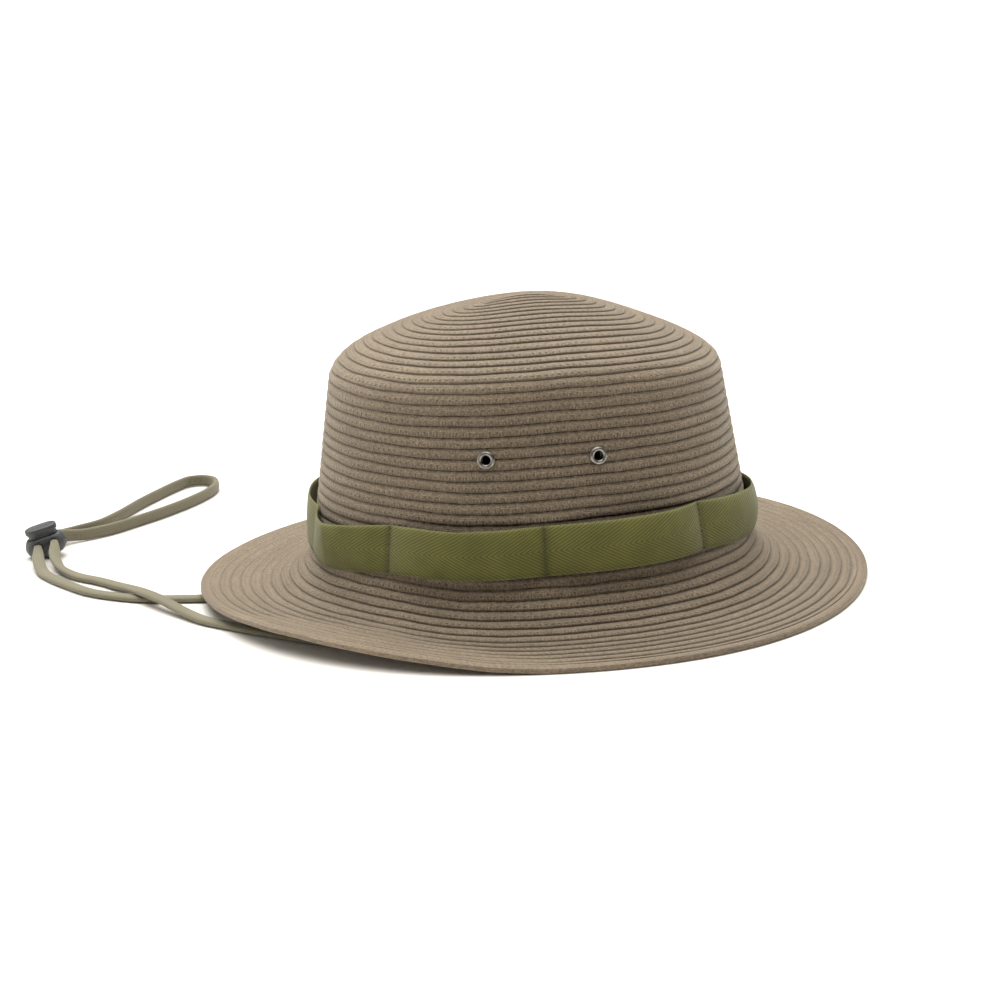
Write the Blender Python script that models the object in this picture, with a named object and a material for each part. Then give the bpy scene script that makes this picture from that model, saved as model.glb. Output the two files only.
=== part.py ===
"""Bush hat of sewn straw braid, with a webbing band, vent eyelets and a chin cord on a cord lock.

Metres, +Z up. The hat stands on z = 0 by the hem of its brim. X runs along its longer side and the
side with the loose cord is -X. Y runs away from the viewer.
"""
import math

import bmesh
import bpy
from mathutils import Matrix, Vector

for old in list(bpy.data.objects):
    bpy.data.objects.remove(old, do_unlink=True)

# Braid body
TOP_HEIGHT = 0.1328         # outer face at the centre of the top
TOP_ARC = 0.0851            # from the centre of the top, over the shoulder, to the wall
BRIM_ARC = 0.0687           # from the foot of the wall to the edge of the brim
STRIP_HALF = 0.0153         # half length of the strip that the spiral of braid starts from
STRIP_ROUND = 0.66          # share, lower is nearer to straight sides and round ends
STRIP_DROP = 0.0017         # how far the ends of the top fall below its middle
WALL_SLOPE = 81.0           # degrees below level
WALL_THICK = 0.0020
EGG = 0.08                  # share by which the +X end is broader and the -X end narrower
SIDE_TILT = 1.26            # degrees by which the crown's rows rise towards +X
BRAID_ROW = 0.00473         # from one row of braid to the next
HEM_EXTRA = 0.0006          # the last row is turned under and is this much thicker
HEM_ROUND = 0.0008          # rounding of the edge
BRIM_LIFT = 0.0085          # how far the cord below the brim lifts its edge at most

# Band
BAND_WIDTH = 0.0220
BAND_THICK = 0.0012
SEAT_GAP = 0.0003           # between pieces that touch
CORD_LIFT = 0.0001          # of a lying cord above the floor
MOUTH = 0.0008              # straight cord past each face of the lock
LEAD = 0.0015               # cord past that, or below a tab, that starts straight

# Eyelets
EYELET_DROP = 0.0242        # below the start of the wall, along the wall
EYELET_BORE = 0.0019
EYELET_BARREL = 0.0024
EYELET_FLANGE = 0.0040
EYELET_CROWN = 0.0009       # how thick the outer flange is
EYELET_SIDES = 12

# Cord and the tabs that hold its ends
CORD_RADIUS = 0.0019
CORD_STEP = 0.0175          # between points of a straight cord
CORD_TURN = 45.0            # degrees between points where it bends
TAB_WIDTH = 0.0120
TAB_THICK = 0.0016
TAB_LENGTH = 0.0220
TAB_RISE = 0.0140           # how far the tab reaches above the foot of the wall
TAB_GAP = 0.0005            # behind the flat tab, so that its edges clear the round wall

# Cord lock. Its own X runs across its two holes, its Y through them and its Z along the button
LOCK_X, LOCK_Y = -0.2307, 0.0940
LOCK_TURN = 5.0             # degrees about the vertical
LOCK_LEAN = 13.0            # degrees towards -X
LOCK_HALF = 0.0105          # half the length across both holes
LOCK_ROUND = 0.0061         # half depth, and radius of the round ends
LOCK_HEIGHT = 0.0096
LOCK_FLOOR = 0.0008
LOCK_WALL = 0.0021          # front and back of the pocket
LOCK_END = 0.0031           # ends of the pocket
HOLE_PITCH = 0.0084
HOLE_HEIGHT = 0.0058
HOLE_GAP = 0.0003           # round the cord
STEM_GAP = 0.0002           # round the button's stem
PRESS = 0.0022              # travel of the button
CAP_GAP = 0.0024            # from the body to the button's cap, at rest
CAP_THICK = 0.0028
CAP_OVERHANG = 0.0008       # of the cap over its stem
CAP_SOFT = 0.0007           # rounding of the cap's edges

COLUMNS = 60
LOOP_COLUMNS = 12

# Slope of the top below level, in degrees, on each side, at shares of TOP_ARC
TOP_SLOPES = [
    # share   near   far  left  right
    (0.03,     4.0,   4.0,   6.0,   6.0),
    (0.22,     8.5,   8.5,   9.0,  20.0),
    (0.44,    16.0,  16.0,  14.0,  23.0),
    (0.61,    28.0,  28.0,  18.5,  23.0),
    (0.72,    28.0,  28.0,  23.0,  26.0),
    (0.81,    28.0,  28.0,  34.0,  30.0),
    (0.86,    40.0,  40.0,  40.0,  33.0),
    (0.94,    70.0,  70.0,  60.0,  48.0),
    (1.00,    81.0,  81.0,  81.0,  81.0),
]
# Slope of the brim below level, in degrees, at shares of BRIM_ARC
BRIM_SLOPES = [
    (0.03, 80.0), (0.10, 76.0), (0.17, 66.0), (0.23, 52.0), (0.30, 40.0), (0.37, 32.0), (0.43, 24.0),
    (0.50, 13.0), (0.57, 7.0), (0.63, 3.0), (0.77, 1.0), (0.87, 0.0), (1.00, 0.0),
]
# How far the foot of the wall and the edge of the brim are lifted, as shares of BRIM_LIFT. 270 degrees is
# the near side and 180 the -X end.
LIFTS = [
    # angle  foot  edge
    (0.0,   0.00, 0.00),
    (100.0, 0.00, 0.00),
    (120.0, 0.37, 0.24),
    (135.0, 0.53, 0.30),
    (150.0, 0.53, 0.36),
    (165.0, 0.53, 0.47),
    (180.0, 0.53, 0.59),
    (195.0, 0.53, 0.74),
    (210.0, 0.53, 0.95),
    (222.0, 0.50, 1.00),
    (234.0, 0.34, 0.82),
    (246.0, 0.06, 0.50),
    (256.0, 0.00, 0.15),
    (264.0, 0.00, 0.00),
    (360.0, 0.00, 0.00),
]
# Where the crown and brim have their sections: zone 0 is the top, 1 the wall and 2 the brim, plus the share
# of that zone
TOP_SECTIONS = [0.02, 0.08, 0.17, 0.28, 0.39, 0.50, 0.61, 0.71, 0.80, 0.87, 0.935]
WALL_SECTIONS = [1.0, 1.33, 1.67]
BRIM_SECTIONS = [2.0, 2.07, 2.14, 2.21, 2.28, 2.35, 2.42, 2.50, 2.59, 2.72, 2.86]

# The band is sewn down between its loops, each row a tack and the loop that follows it. Angles are in
# degrees, 270 is the near side. The drop is how far the lower edge reaches past the foot of the wall, the
# sag how much lower it hangs at the loop's peak, upper and lower how far those edges stand off there, and
# belly how far the middle of the width bulges, all as shares of BAND_WIDTH. The peak is a share of the
# loop, and a sharp loop has a crease there.
BAND_LOOPS = [
    # angle  drop    sag   peak  upper  belly  lower  sharp
    (187.0, 0.33,  0.15, 0.42, 0.36, 0.03, 0.12, 0.90),
    (226.0, 0.24, -0.03, 0.50, 0.26, 0.02, 0.22, 0.10),
    (266.0, 0.15,  0.00, 0.55, 0.24, 0.02, 0.22, 0.10),
    (307.5, 0.13,  0.04, 0.55, 0.20, 0.10, 0.02, 0.65),
    (358.0, 0.47,  0.00, 0.50, 0.20, 0.04, 0.14, 0.15),
    (409.0, 0.52,  0.00, 0.48, 0.24, 0.02, 0.24, 0.10),
    (454.0, 0.25,  0.00, 0.50, 0.24, 0.02, 0.24, 0.10),
    (494.0, 0.26,  0.00, 0.52, 0.18, 0.03, 0.06, 0.30),
]
# Each eyelet's angle, and its share of EYELET_DROP
EYELETS = {
    "eyelet_near_left": (253.0, 1.00), "eyelet_near_right": (280.0, 1.08),
    "eyelet_far_left": (107.0, 1.00), "eyelet_far_right": (80.0, 1.08),
}
TAB_ANGLES = {"cord_tab_near": 270.0, "cord_tab_far": 90.0}

# Outline of the lock's body: at a share of LOCK_HEIGHT, the shares of LOCK_END and of LOCK_WALL by which
# it is drawn in
LOCK_LEVELS = [
    # height  end  wall
    (0.00, 1.00, 0.60),
    (0.10, 0.62, 0.30),
    (0.28, 0.18, 0.05),
    (0.50, 0.00, 0.00),
    (0.72, 0.15, 0.05),
    (0.90, 0.46, 0.25),
    (1.00, 0.68, 0.50),
]

# Route of the chin cord: x, y and how far it is lifted from where it would lie on the floor
ROUTE_NEAR = [
    (0.0000, -0.0838, 0.0120), (-0.0030, -0.0835, 0.0060), (-0.0100, -0.0822, 0.0014),
    (-0.0220, -0.0800, 0.0000), (-0.0400, -0.0790, 0.0000), (-0.0600, -0.0815, 0.0000),
    (-0.0800, -0.0850, 0.0000), (-0.0960, -0.0825, 0.0000), (-0.1090, -0.0740, 0.0000),
    (-0.1230, -0.0625, 0.0000), (-0.1350, -0.0525, 0.0000), (-0.1460, -0.0425, 0.0000),
    (-0.1560, -0.0330, 0.0003), (-0.1660, -0.0195, 0.0020), (-0.1745, -0.0070, 0.0043),
    (-0.1830, 0.0065, 0.0044), (-0.1895, 0.0185, 0.0024), (-0.1960, 0.0295, 0.0004),
    (-0.2045, 0.0400, 0.0000), (-0.2140, 0.0490, 0.0000), (-0.2218, 0.0595, 0.0002),
    (-0.2262, 0.0715, 0.0024),
]
ROUTE_LOOP = [
    (-0.2266, 0.1073, 0.0048), (-0.2241, 0.1111, 0.0034), (-0.2203, 0.1136, 0.0022),
    (-0.2130, 0.1163, 0.0013), (-0.2000, 0.1228, 0.0011), (-0.1860, 0.1345, 0.0011),
    (-0.1730, 0.1465, 0.0011), (-0.1620, 0.1585, 0.0011), (-0.1530, 0.1705, 0.0011),
    (-0.1470, 0.1815, 0.0011), (-0.1446, 0.1905, 0.0011), (-0.1456, 0.1982, 0.0011),
    (-0.1514, 0.2040, 0.0011), (-0.1594, 0.2038, 0.0011), (-0.1655, 0.1975, 0.0011),
    (-0.1745, 0.1845, 0.0011), (-0.1860, 0.1660, 0.0011), (-0.1965, 0.1465, 0.0011),
    (-0.2065, 0.1320, 0.0011), (-0.2170, 0.1225, 0.0013), (-0.2270, 0.1150, 0.0022),
    (-0.2335, 0.1078, 0.0036),
]
ROUTE_FAR = [
    (-0.2348, 0.0745, 0.0024), (-0.2325, 0.0625, 0.0002), (-0.2275, 0.0515, 0.0000),
    (-0.2190, 0.0380, 0.0000), (-0.2090, 0.0245, 0.0000), (-0.1970, 0.0145, 0.0000),
    (-0.1830, 0.0065, 0.0000), (-0.1680, 0.0020, 0.0000), (-0.1510, -0.0015, 0.0000),
    (-0.1320, -0.0020, 0.0000), (-0.1100, 0.0040, 0.0000), (-0.0860, 0.0180, 0.0000),
    (-0.0620, 0.0380, 0.0000), (-0.0440, 0.0560, 0.0000), (-0.0290, 0.0710, 0.0000),
    (-0.0130, 0.0800, 0.0011), (-0.0035, 0.0830, 0.0056), (0.0000, 0.0838, 0.0120),
]


def material(name, colour, roughness, metallic=0.0):
    made = bpy.data.materials.new(name)
    made.use_nodes = True
    shader = made.node_tree.nodes["Principled BSDF"]
    shader.inputs["Base Color"].default_value = (*colour, 1.0)
    shader.inputs["Roughness"].default_value = roughness
    shader.inputs["Metallic"].default_value = metallic
    return made


STRAW = material("straw_braid", (0.34, 0.28, 0.20), 0.85)
WEBBING = material("olive_webbing", (0.12, 0.13, 0.05), 0.90)
GUNMETAL = material("gunmetal", (0.20, 0.20, 0.21), 0.35, 1.0)
CORD = material("cord_weave", (0.27, 0.24, 0.15), 0.85)
PLASTIC = material("lock_plastic", (0.05, 0.055, 0.06), 0.45)


def add_object(name, verts, faces, look):
    mesh = bpy.data.meshes.new(name)
    mesh.from_pydata([tuple(v) for v in verts], [], faces)
    shape = bmesh.new()
    shape.from_mesh(mesh)
    bmesh.ops.recalc_face_normals(shape, faces=shape.faces)
    shape.to_mesh(mesh)
    shape.free()
    mesh.materials.append(look)
    made = bpy.data.objects.new(name, mesh)
    bpy.context.scene.collection.objects.link(made)
    return made


def cut(target, cutter):
    cutter.hide_render = True
    cutter.display_type = "WIRE"
    step = target.modifiers.new("cut_" + cutter.name, "BOOLEAN")
    step.operation = "DIFFERENCE"
    step.solver = "EXACT"
    step.object = cutter


def between(rows, column, share):
    """Value of a table's column at a share, on straight lines between its rows."""
    if share <= rows[0][0]:
        return rows[0][column]
    for low, high in zip(rows, rows[1:]):
        if share <= high[0]:
            part = (share - low[0])/(high[0] - low[0])
            return low[column] + (high[column] - low[column])*part
    return rows[-1][column]


# Outer face of the hat

SECTION_STEPS = 120
HEM_START = 3 - BRAID_ROW/BRIM_ARC
HEM_END = 3 - HEM_ROUND/BRIM_ARC
EDGE_HEIGHT = WALL_THICK + HEM_EXTRA
section_cache = {}


def top_slope(turn, share):
    side = math.cos(turn)
    depth = math.sin(turn)
    weights = (max(-depth, 0)**2, max(depth, 0)**2, max(-side, 0)**2, max(side, 0)**2)
    return sum(weight*between(TOP_SLOPES, 1 + k, share) for k, weight in enumerate(weights))


def run_and_fall(slope_at, length):
    """Running sums of the outward run and the fall along an arc of given slope."""
    runs, falls = [0.0], [0.0]
    for step in range(SECTION_STEPS):
        slope = math.radians(slope_at((step + 0.5)/SECTION_STEPS))
        runs.append(runs[-1] + length/SECTION_STEPS*math.cos(slope))
        falls.append(falls[-1] + length/SECTION_STEPS*math.sin(slope))
    return runs, falls


def section(turn):
    """Sums along the top, fall of the wall, sums along the brim and rise of its edge, at an angle."""
    key = round(turn, 7)
    if key not in section_cache:
        angle = math.degrees(turn) % 360
        foot, edge = BRIM_LIFT*between(LIFTS, 1, angle), BRIM_LIFT*between(LIFTS, 2, angle)
        top = run_and_fall(lambda share: top_slope(turn, share), TOP_ARC)
        brim = run_and_fall(lambda share: between(BRIM_SLOPES, 1, share), BRIM_ARC)
        wall_fall = TOP_HEIGHT - EDGE_HEIGHT - foot - top[1][-1] - brim[1][-1]
        section_cache[key] = (top, wall_fall, brim, edge - foot)
    return section_cache[key]


def read(sums, share):
    place = min(max(share, 0.0), 1.0)*SECTION_STEPS
    low = min(int(place), SECTION_STEPS - 1)
    return sums[low] + (sums[low + 1] - sums[low])*(place - low)


def strip_point(side):
    return side*math.sqrt(1 + STRIP_ROUND**2)/math.sqrt(side*side + STRIP_ROUND**2)


def face(turn, place):
    """Point of the outer face. place is 0 to 1 on the top, 1 to 2 on the wall and 2 to 3 on the brim."""
    top, wall_fall, brim, edge_rise = section(turn)
    wall_run = wall_fall/math.tan(math.radians(WALL_SLOPE))
    run, fall = read(top[0], place), read(top[1], place)
    if place > 1:
        run += wall_run*min(place - 1, 1)
        fall += wall_fall*min(place - 1, 1)
    if place > 2:
        run += read(brim[0], place - 2)
        fall += read(brim[1], place - 2)
    side, depth = math.cos(turn), math.sin(turn)
    strip = strip_point(side)
    x = STRIP_HALF*strip + run*side
    y = run*depth*(1 + EGG*x/HALF_LENGTH)
    brim_share = min(max(place - 2, 0)/(HEM_START - 2), 1)
    rise = math.tan(math.radians(SIDE_TILT))*x - STRIP_DROP*strip*strip
    z = TOP_HEIGHT - fall + rise*(1 - brim_share)
    z += edge_rise*brim_share**2
    return Vector((x - CENTRE_X, y, z))


HALF_LENGTH, CENTRE_X = 1.0, 0.0
right_reach, left_reach = face(0.0, 3.0).x, face(math.pi, 3.0).x
HALF_LENGTH = (right_reach - left_reach)/2
CENTRE_X = (right_reach + left_reach)/2


def outward(turn, place):
    """Unit normal of the hat's surface, out of the crown and up from the brim."""
    step = 0.002
    along = face(turn, min(place + step, 3.0)) - face(turn, place - step)
    around = face(turn + step, place) - face(turn - step, place)
    return along.cross(around).normalized()


def skin(turn, place, offset):
    """Point at a distance out from the outer face."""
    return face(turn, place) + outward(turn, place)*offset


def wall_place(turn, down):
    """Place on the surface at a distance along the wall from its foot, positive onto the brim."""
    wall_length = section(turn)[1]/math.sin(math.radians(WALL_SLOPE))
    return 2 + down/BRIM_ARC if down > 0 else 2 + down/wall_length


# Braid body: crown and brim are one spiral of braid

def column_turns():
    return [2*math.pi*column/COLUMNS for column in range(COLUMNS)]


def braid_body():
    sections = TOP_SECTIONS + WALL_SECTIONS + BRIM_SECTIONS
    outer = [[face(turn, place) for turn in column_turns()] for place in sections + [HEM_START, HEM_END]]
    inner = [[skin(turn, place, -WALL_THICK) for turn in column_turns()]
             for place in sections + [HEM_START - HEM_ROUND/BRIM_ARC]]
    # The hem is measured straight down, so that it stands flat
    hem = [(3.0, -0.3*WALL_THICK), (3.0, -0.7*WALL_THICK - HEM_EXTRA), (HEM_END, -WALL_THICK - HEM_EXTRA),
           (HEM_START, -WALL_THICK - HEM_EXTRA)]
    edge = []
    for place, drop in hem:
        edge.append([face(turn, place) + Vector((0, 0, drop)) for turn in column_turns()])
    rings = outer + edge + inner[::-1]
    verts = [point for ring in rings for point in ring]
    faces = []
    for ring in range(len(rings) - 1):
        for column in range(COLUMNS):
            after = (column + 1) % COLUMNS
            low, high = ring*COLUMNS, (ring + 1)*COLUMNS
            faces.append((low + column, low + after, high + after, high + column))
    # The first ring is a narrow slot, closed from side to side
    for start in (0, (len(rings) - 1)*COLUMNS):
        for column in range(COLUMNS//2):
            corners = [column, column + 1, COLUMNS - column - 1, (COLUMNS - column) % COLUMNS]
            corners = [start + c for k, c in enumerate(corners) if c not in corners[:k]]
            faces.append(tuple(corners))
    return add_object("braid_body", verts, faces, STRAW)


def ring_of(profile, sides):
    """Turned ring about local Z from a closed profile of radius and height."""
    verts, faces = [], []
    for step in range(sides):
        angle = 2*math.pi*(step + 0.5)/sides
        verts += [(r*math.cos(angle), r*math.sin(angle), h) for r, h in profile]
    count = len(profile)
    for step in range(sides):
        here, after = step*count, (step + 1) % sides*count
        for k in range(count):
            nxt = (k + 1) % count
            faces.append((here + k, after + k, after + nxt, here + nxt))
    return verts, faces


def facing(place, axis, upright=Vector((0, 0, 1))):
    """Matrix whose local Z is the axis."""
    z = axis.normalized()
    x = upright.cross(z).normalized()
    made = Matrix((x, z.cross(x), z)).transposed().to_4x4()
    made.translation = place
    return made


def cylinder(name, radius, half_length, sides, look):
    verts = []
    for level in (-half_length, half_length):
        for step in range(sides):
            angle = 2*math.pi*(step + 0.5)/sides
            verts.append((radius*math.cos(angle), radius*math.sin(angle), level))
    faces = [tuple(range(sides)), tuple(range(sides, 2*sides))]
    faces += [(k, (k + 1) % sides, sides + (k + 1) % sides, sides + k) for k in range(sides)]
    return add_object(name, verts, faces, look)


def eyelet(name, angle, drop, body):
    turn = math.radians(angle)
    wall_length = section(turn)[1]/math.sin(math.radians(WALL_SLOPE))
    place = 1 + drop*EYELET_DROP/wall_length
    back = WALL_THICK/2 + SEAT_GAP
    front = back + EYELET_CROWN
    profile = [
        (EYELET_BORE, back + 0.3*EYELET_CROWN), (EYELET_BORE*1.18, front - 0.12*EYELET_CROWN),
        (EYELET_FLANGE*0.76, front), (EYELET_FLANGE*0.94, back + 0.7*EYELET_CROWN),
        (EYELET_FLANGE, back + 0.2*EYELET_CROWN), (EYELET_FLANGE*0.98, back), (EYELET_BARREL, back),
        (EYELET_BARREL, -back), (EYELET_FLANGE*0.88, -back), (EYELET_FLANGE*0.85, -back - 0.4*EYELET_CROWN),
        (EYELET_FLANGE*0.66, -back - 0.6*EYELET_CROWN), (EYELET_BORE, -back - 0.3*EYELET_CROWN),
    ]
    seat = facing(skin(turn, place, -WALL_THICK/2), outward(turn, place))
    made = add_object(name, *ring_of(profile, EYELET_SIDES), GUNMETAL)
    made.matrix_world = seat
    hole = cylinder("cut_" + name, EYELET_BARREL + SEAT_GAP, 3*WALL_THICK, EYELET_SIDES, STRAW)
    hole.matrix_world = seat
    cut(body, hole)


# Band: one length of webbing, sewn to the crown between its loops

def loop_height(share, peak, sharp):
    rise = share/peak if share < peak else (1 - share)/(1 - peak)
    return 1 - (1 - rise)**(2.2 - 1.1*sharp)


def hat_band():
    lines = []
    first = BAND_LOOPS[0]
    for loop, after in zip(BAND_LOOPS, BAND_LOOPS[1:] + [(first[0] + 360, *first[1:])]):
        start, drop, sag, peak, upper, belly, lower, sharp = loop
        for column in range(LOOP_COLUMNS):
            share = column/LOOP_COLUMNS
            turn = math.radians(start + (after[0] - start)*share)
            height = loop_height(share, peak, sharp)*BAND_WIDTH
            foot_down = (drop + (after[1] - drop)*share)*BAND_WIDTH + sag*height
            foot_place = wall_place(turn, foot_down)
            head_place = wall_place(turn, foot_down - BAND_WIDTH)
            foot = skin(turn, foot_place, SEAT_GAP + lower*height)
            head = skin(turn, head_place, SEAT_GAP + upper*height)
            out = outward(turn, (foot_place + head_place)/2)
            middle = (foot + head)/2 + out*(belly*height)
            edges = [foot, middle, head]
            lines.append(edges + [edge + out*BAND_THICK for edge in edges[::-1]])
    verts = [point for line in lines for point in line]
    faces = []
    count, corners = len(lines), len(lines[0])
    for line in range(count):
        here, after = corners*line, corners*((line + 1) % count)
        for k in range(corners):
            nxt = (k + 1) % corners
            faces.append((here + k, after + k, after + nxt, here + nxt))
    return add_object("hat_band", verts, faces, WEBBING)


# Tabs that hold the ends of the cord, inside the crown over the ears

def box(name, low, high, look):
    verts = [(x, y, z) for x in (low[0], high[0]) for y in (low[1], high[1]) for z in (low[2], high[2])]
    faces = [(0, 1, 3, 2), (4, 6, 7, 5), (0, 4, 5, 1), (2, 3, 7, 6), (0, 2, 6, 4), (1, 5, 7, 3)]
    return add_object(name, verts, faces, look)


def tab_seat(angle):
    """Matrix with local Z out of the wall and local Y up the wall, at the top of the tab."""
    turn = math.radians(angle)
    place = wall_place(turn, -TAB_RISE)
    normal = outward(turn, place)
    return facing(face(turn, place), normal)


def cord_tab(name, angle):
    front = -WALL_THICK - TAB_GAP
    made = box(name, (-TAB_WIDTH/2, -TAB_LENGTH, front - TAB_THICK), (TAB_WIDTH/2, 0.0, front), WEBBING)
    made.matrix_world = tab_seat(angle)


def tab_end(angle, below):
    """Point of the cord's middle at a distance below the tab."""
    depth = -WALL_THICK - TAB_GAP - CORD_RADIUS
    return tab_seat(angle) @ Vector((0.0, -TAB_LENGTH - below, depth))


# Cord lock

def pill(half_length, radius, sides=8):
    """Outline with straight sides and round ends, half_length from the middle to each end."""
    points = []
    for end in (1, -1):
        for step in range(sides + 1):
            angle = math.radians(-90 + 180*step/sides) + (0 if end > 0 else math.pi)
            points.append((end*(half_length - radius) + radius*math.cos(angle), radius*math.sin(angle)))
    return points


def pill_solid(name, levels, look):
    """Solid through pill outlines, each a height, a half length and a radius."""
    verts, faces = [], []
    for height, half_length, radius in levels:
        verts += [(x, y, height) for x, y in pill(half_length, radius)]
    count = len(pill(1.0, 0.5))
    for level in range(len(levels) - 1):
        for k in range(count):
            nxt = (k + 1) % count
            low, high = level*count, (level + 1)*count
            faces.append((low + k, low + nxt, high + nxt, high + k))
    faces.append(tuple(range(count)))
    faces.append(tuple(range((len(levels) - 1)*count, len(levels)*count)))
    made = add_object(name, verts, faces, look)
    made.matrix_world = LOCK_SEAT
    return made


BODY_LEVELS = [(height*LOCK_HEIGHT, LOCK_HALF - end*LOCK_END, LOCK_ROUND - wall*LOCK_WALL)
               for height, end, wall in LOCK_LEVELS]
LEAN = math.radians(LOCK_LEAN)
LOCK_RISE = max(half_length*math.sin(LEAN) - height*math.cos(LEAN)
                for height, half_length, _ in BODY_LEVELS)
LOCK_SEAT = (Matrix.Translation((LOCK_X, LOCK_Y, LOCK_RISE))
             @ Matrix.Rotation(math.radians(LOCK_TURN), 4, "Z") @ Matrix.Rotation(-LEAN, 4, "Y"))
HOLE_RADIUS = CORD_RADIUS + HOLE_GAP


def lock_hole(name, side, rise):
    """Cutter for one run of cord through the lock, a slot where the cord may rise."""
    points = []
    for centre, first in ((HOLE_HEIGHT + rise, 0), (HOLE_HEIGHT, 180)):
        for step in range(8):
            angle = math.radians(first + 180*(step + 0.5)/8)
            points.append((HOLE_RADIUS*math.cos(angle), centre + HOLE_RADIUS*math.sin(angle)))
    verts = [(side*HOLE_PITCH/2 + x, y, z) for y in (-2*LOCK_ROUND, 2*LOCK_ROUND) for x, z in points]
    count = len(points)
    faces = [tuple(range(count)), tuple(range(count, 2*count))]
    faces += [(k, (k + 1) % count, count + (k + 1) % count, count + k) for k in range(count)]
    made = add_object(name, verts, faces, PLASTIC)
    made.matrix_world = LOCK_SEAT
    return made


def cord_lock():
    pocket_half, pocket_round = LOCK_HALF - LOCK_END, LOCK_ROUND - LOCK_WALL
    body = pill_solid("cord_lock_body", BODY_LEVELS, PLASTIC)
    cut(body, pill_solid("cut_pocket", [(LOCK_FLOOR, pocket_half, pocket_round),
                                        (2*LOCK_HEIGHT, pocket_half, pocket_round)], PLASTIC))
    stem_half, stem_round = pocket_half - STEM_GAP, pocket_round - STEM_GAP
    stem_foot = LOCK_FLOOR + STEM_GAP + PRESS
    cap_half, cap_round = stem_half + CAP_OVERHANG, stem_round + CAP_OVERHANG*1.5
    cap_foot = LOCK_HEIGHT + CAP_GAP
    cap_top = cap_foot + CAP_THICK
    button = pill_solid("cord_lock_button", [
        (stem_foot, stem_half, stem_round), (cap_foot, stem_half, stem_round),
        (cap_foot, cap_half - CAP_SOFT*0.3, cap_round - CAP_SOFT*0.3),
        (cap_foot + CAP_SOFT*0.7, cap_half, cap_round), (cap_top - CAP_SOFT, cap_half, cap_round),
        (cap_top, cap_half - CAP_SOFT, cap_round - CAP_SOFT)], PLASTIC)
    for name, side in (("left", -1), ("right", 1)):
        cut(body, lock_hole("cut_hole_" + name, side, 0.0))
        cut(button, lock_hole("cut_slot_" + name, side, PRESS))


# Chin cord

def lock_point(side, along):
    """Point on the middle of one of the lock's holes, at a distance through the lock."""
    return LOCK_SEAT @ Vector((side*HOLE_PITCH/2, along, HOLE_HEIGHT))


def lifted(rows):
    return [Vector((x, y, CORD_RADIUS + CORD_LIFT + lift)) for x, y, lift in rows]


def cord_stretches():
    """Routes of the three stretches of cord outside the lock, each with its lead past both ends."""
    near, far = TAB_ANGLES["cord_tab_near"], TAB_ANGLES["cord_tab_far"]
    mouth, lead = LOCK_ROUND + MOUTH, LOCK_ROUND + MOUTH + LEAD
    return [
        [tab_end(near, 0.0), tab_end(near, SEAT_GAP), tab_end(near, LEAD)] + lifted(ROUTE_NEAR)
        + [lock_point(1, -lead), lock_point(1, -mouth), lock_point(1, 0.0)],
        [lock_point(1, 0.0), lock_point(1, mouth), lock_point(1, lead)] + lifted(ROUTE_LOOP)
        + [lock_point(-1, lead), lock_point(-1, mouth), lock_point(-1, 0.0)],
        [lock_point(-1, 0.0), lock_point(-1, -mouth), lock_point(-1, -lead)] + lifted(ROUTE_FAR)
        + [tab_end(far, LEAD), tab_end(far, SEAT_GAP), tab_end(far, 0.0)],
    ]


def smooth_point(before, start, end, after, share):
    """Point on a smooth curve from start to end, bent by the points before and after."""
    times = [0.0]
    for low, high in ((before, start), (start, end), (end, after)):
        times.append(times[-1] + max((high - low).length, 1e-6)**0.5)
    t0, t1, t2, t3 = times
    t = t1 + (t2 - t1)*share
    a1 = before*((t1 - t)/(t1 - t0)) + start*((t - t0)/(t1 - t0))
    a2 = start*((t2 - t)/(t2 - t1)) + end*((t - t1)/(t2 - t1))
    a3 = end*((t3 - t)/(t3 - t2)) + after*((t - t2)/(t3 - t2))
    b1 = a1*((t2 - t)/(t2 - t0)) + a2*((t - t0)/(t2 - t0))
    b2 = a2*((t3 - t)/(t3 - t1)) + a3*((t - t1)/(t3 - t1))
    return b1*((t2 - t)/(t2 - t1)) + b2*((t - t1)/(t2 - t1))


def cord_points():
    """Points along the cord, closer together where it bends."""
    chosen = []
    for route in cord_stretches():
        fine = [smooth_point(*route[k:k + 4], step/10) for k in range(len(route) - 3) for step in range(10)]
        fine.append(route[-2])
        marks = [0.0]
        for k in range(1, len(fine)):
            step = fine[k] - fine[k - 1]
            turn = math.degrees(step.angle(fine[k + 1] - fine[k])) if k + 1 < len(fine) else 0.0
            marks.append(marks[-1] + step.length/CORD_STEP + turn/CORD_TURN)
        count = max(2, round(marks[-1]))
        chosen.append(fine[0])
        for mark in (marks[-1]*(k + 1)/count for k in range(count - 1)):
            chosen.append(next(point for point, reached in zip(fine, marks) if reached >= mark))
        chosen.append(fine[-1])
    for point in chosen:
        point.z = max(point.z, CORD_RADIUS + CORD_LIFT)
    return chosen


def chin_cord():
    points = cord_points()
    curve = bpy.data.curves.new("chin_cord", "CURVE")
    curve.dimensions = "3D"
    curve.bevel_depth = CORD_RADIUS
    curve.bevel_resolution = 2
    curve.use_fill_caps = True
    line = curve.splines.new("POLY")
    line.points.add(len(points) - 1)
    for target, point in zip(line.points, points):
        target.co = (*point, 1.0)
    curve.materials.append(CORD)
    made = bpy.data.objects.new("chin_cord", curve)
    bpy.context.scene.collection.objects.link(made)


hat = braid_body()
for eyelet_name, (eyelet_angle, eyelet_drop) in EYELETS.items():
    eyelet(eyelet_name, eyelet_angle, eyelet_drop, hat)
hat_band()
for tab_name, tab_angle in TAB_ANGLES.items():
    cord_tab(tab_name, tab_angle)
cord_lock()
chin_cord()
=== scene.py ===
"""Bush hat of sewn straw braid, dressed on the CAD frame. Metres, +Z up, the hat stands on z = 0."""
import math

import bmesh
import bpy
from mathutils import Matrix, Vector, noise


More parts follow.
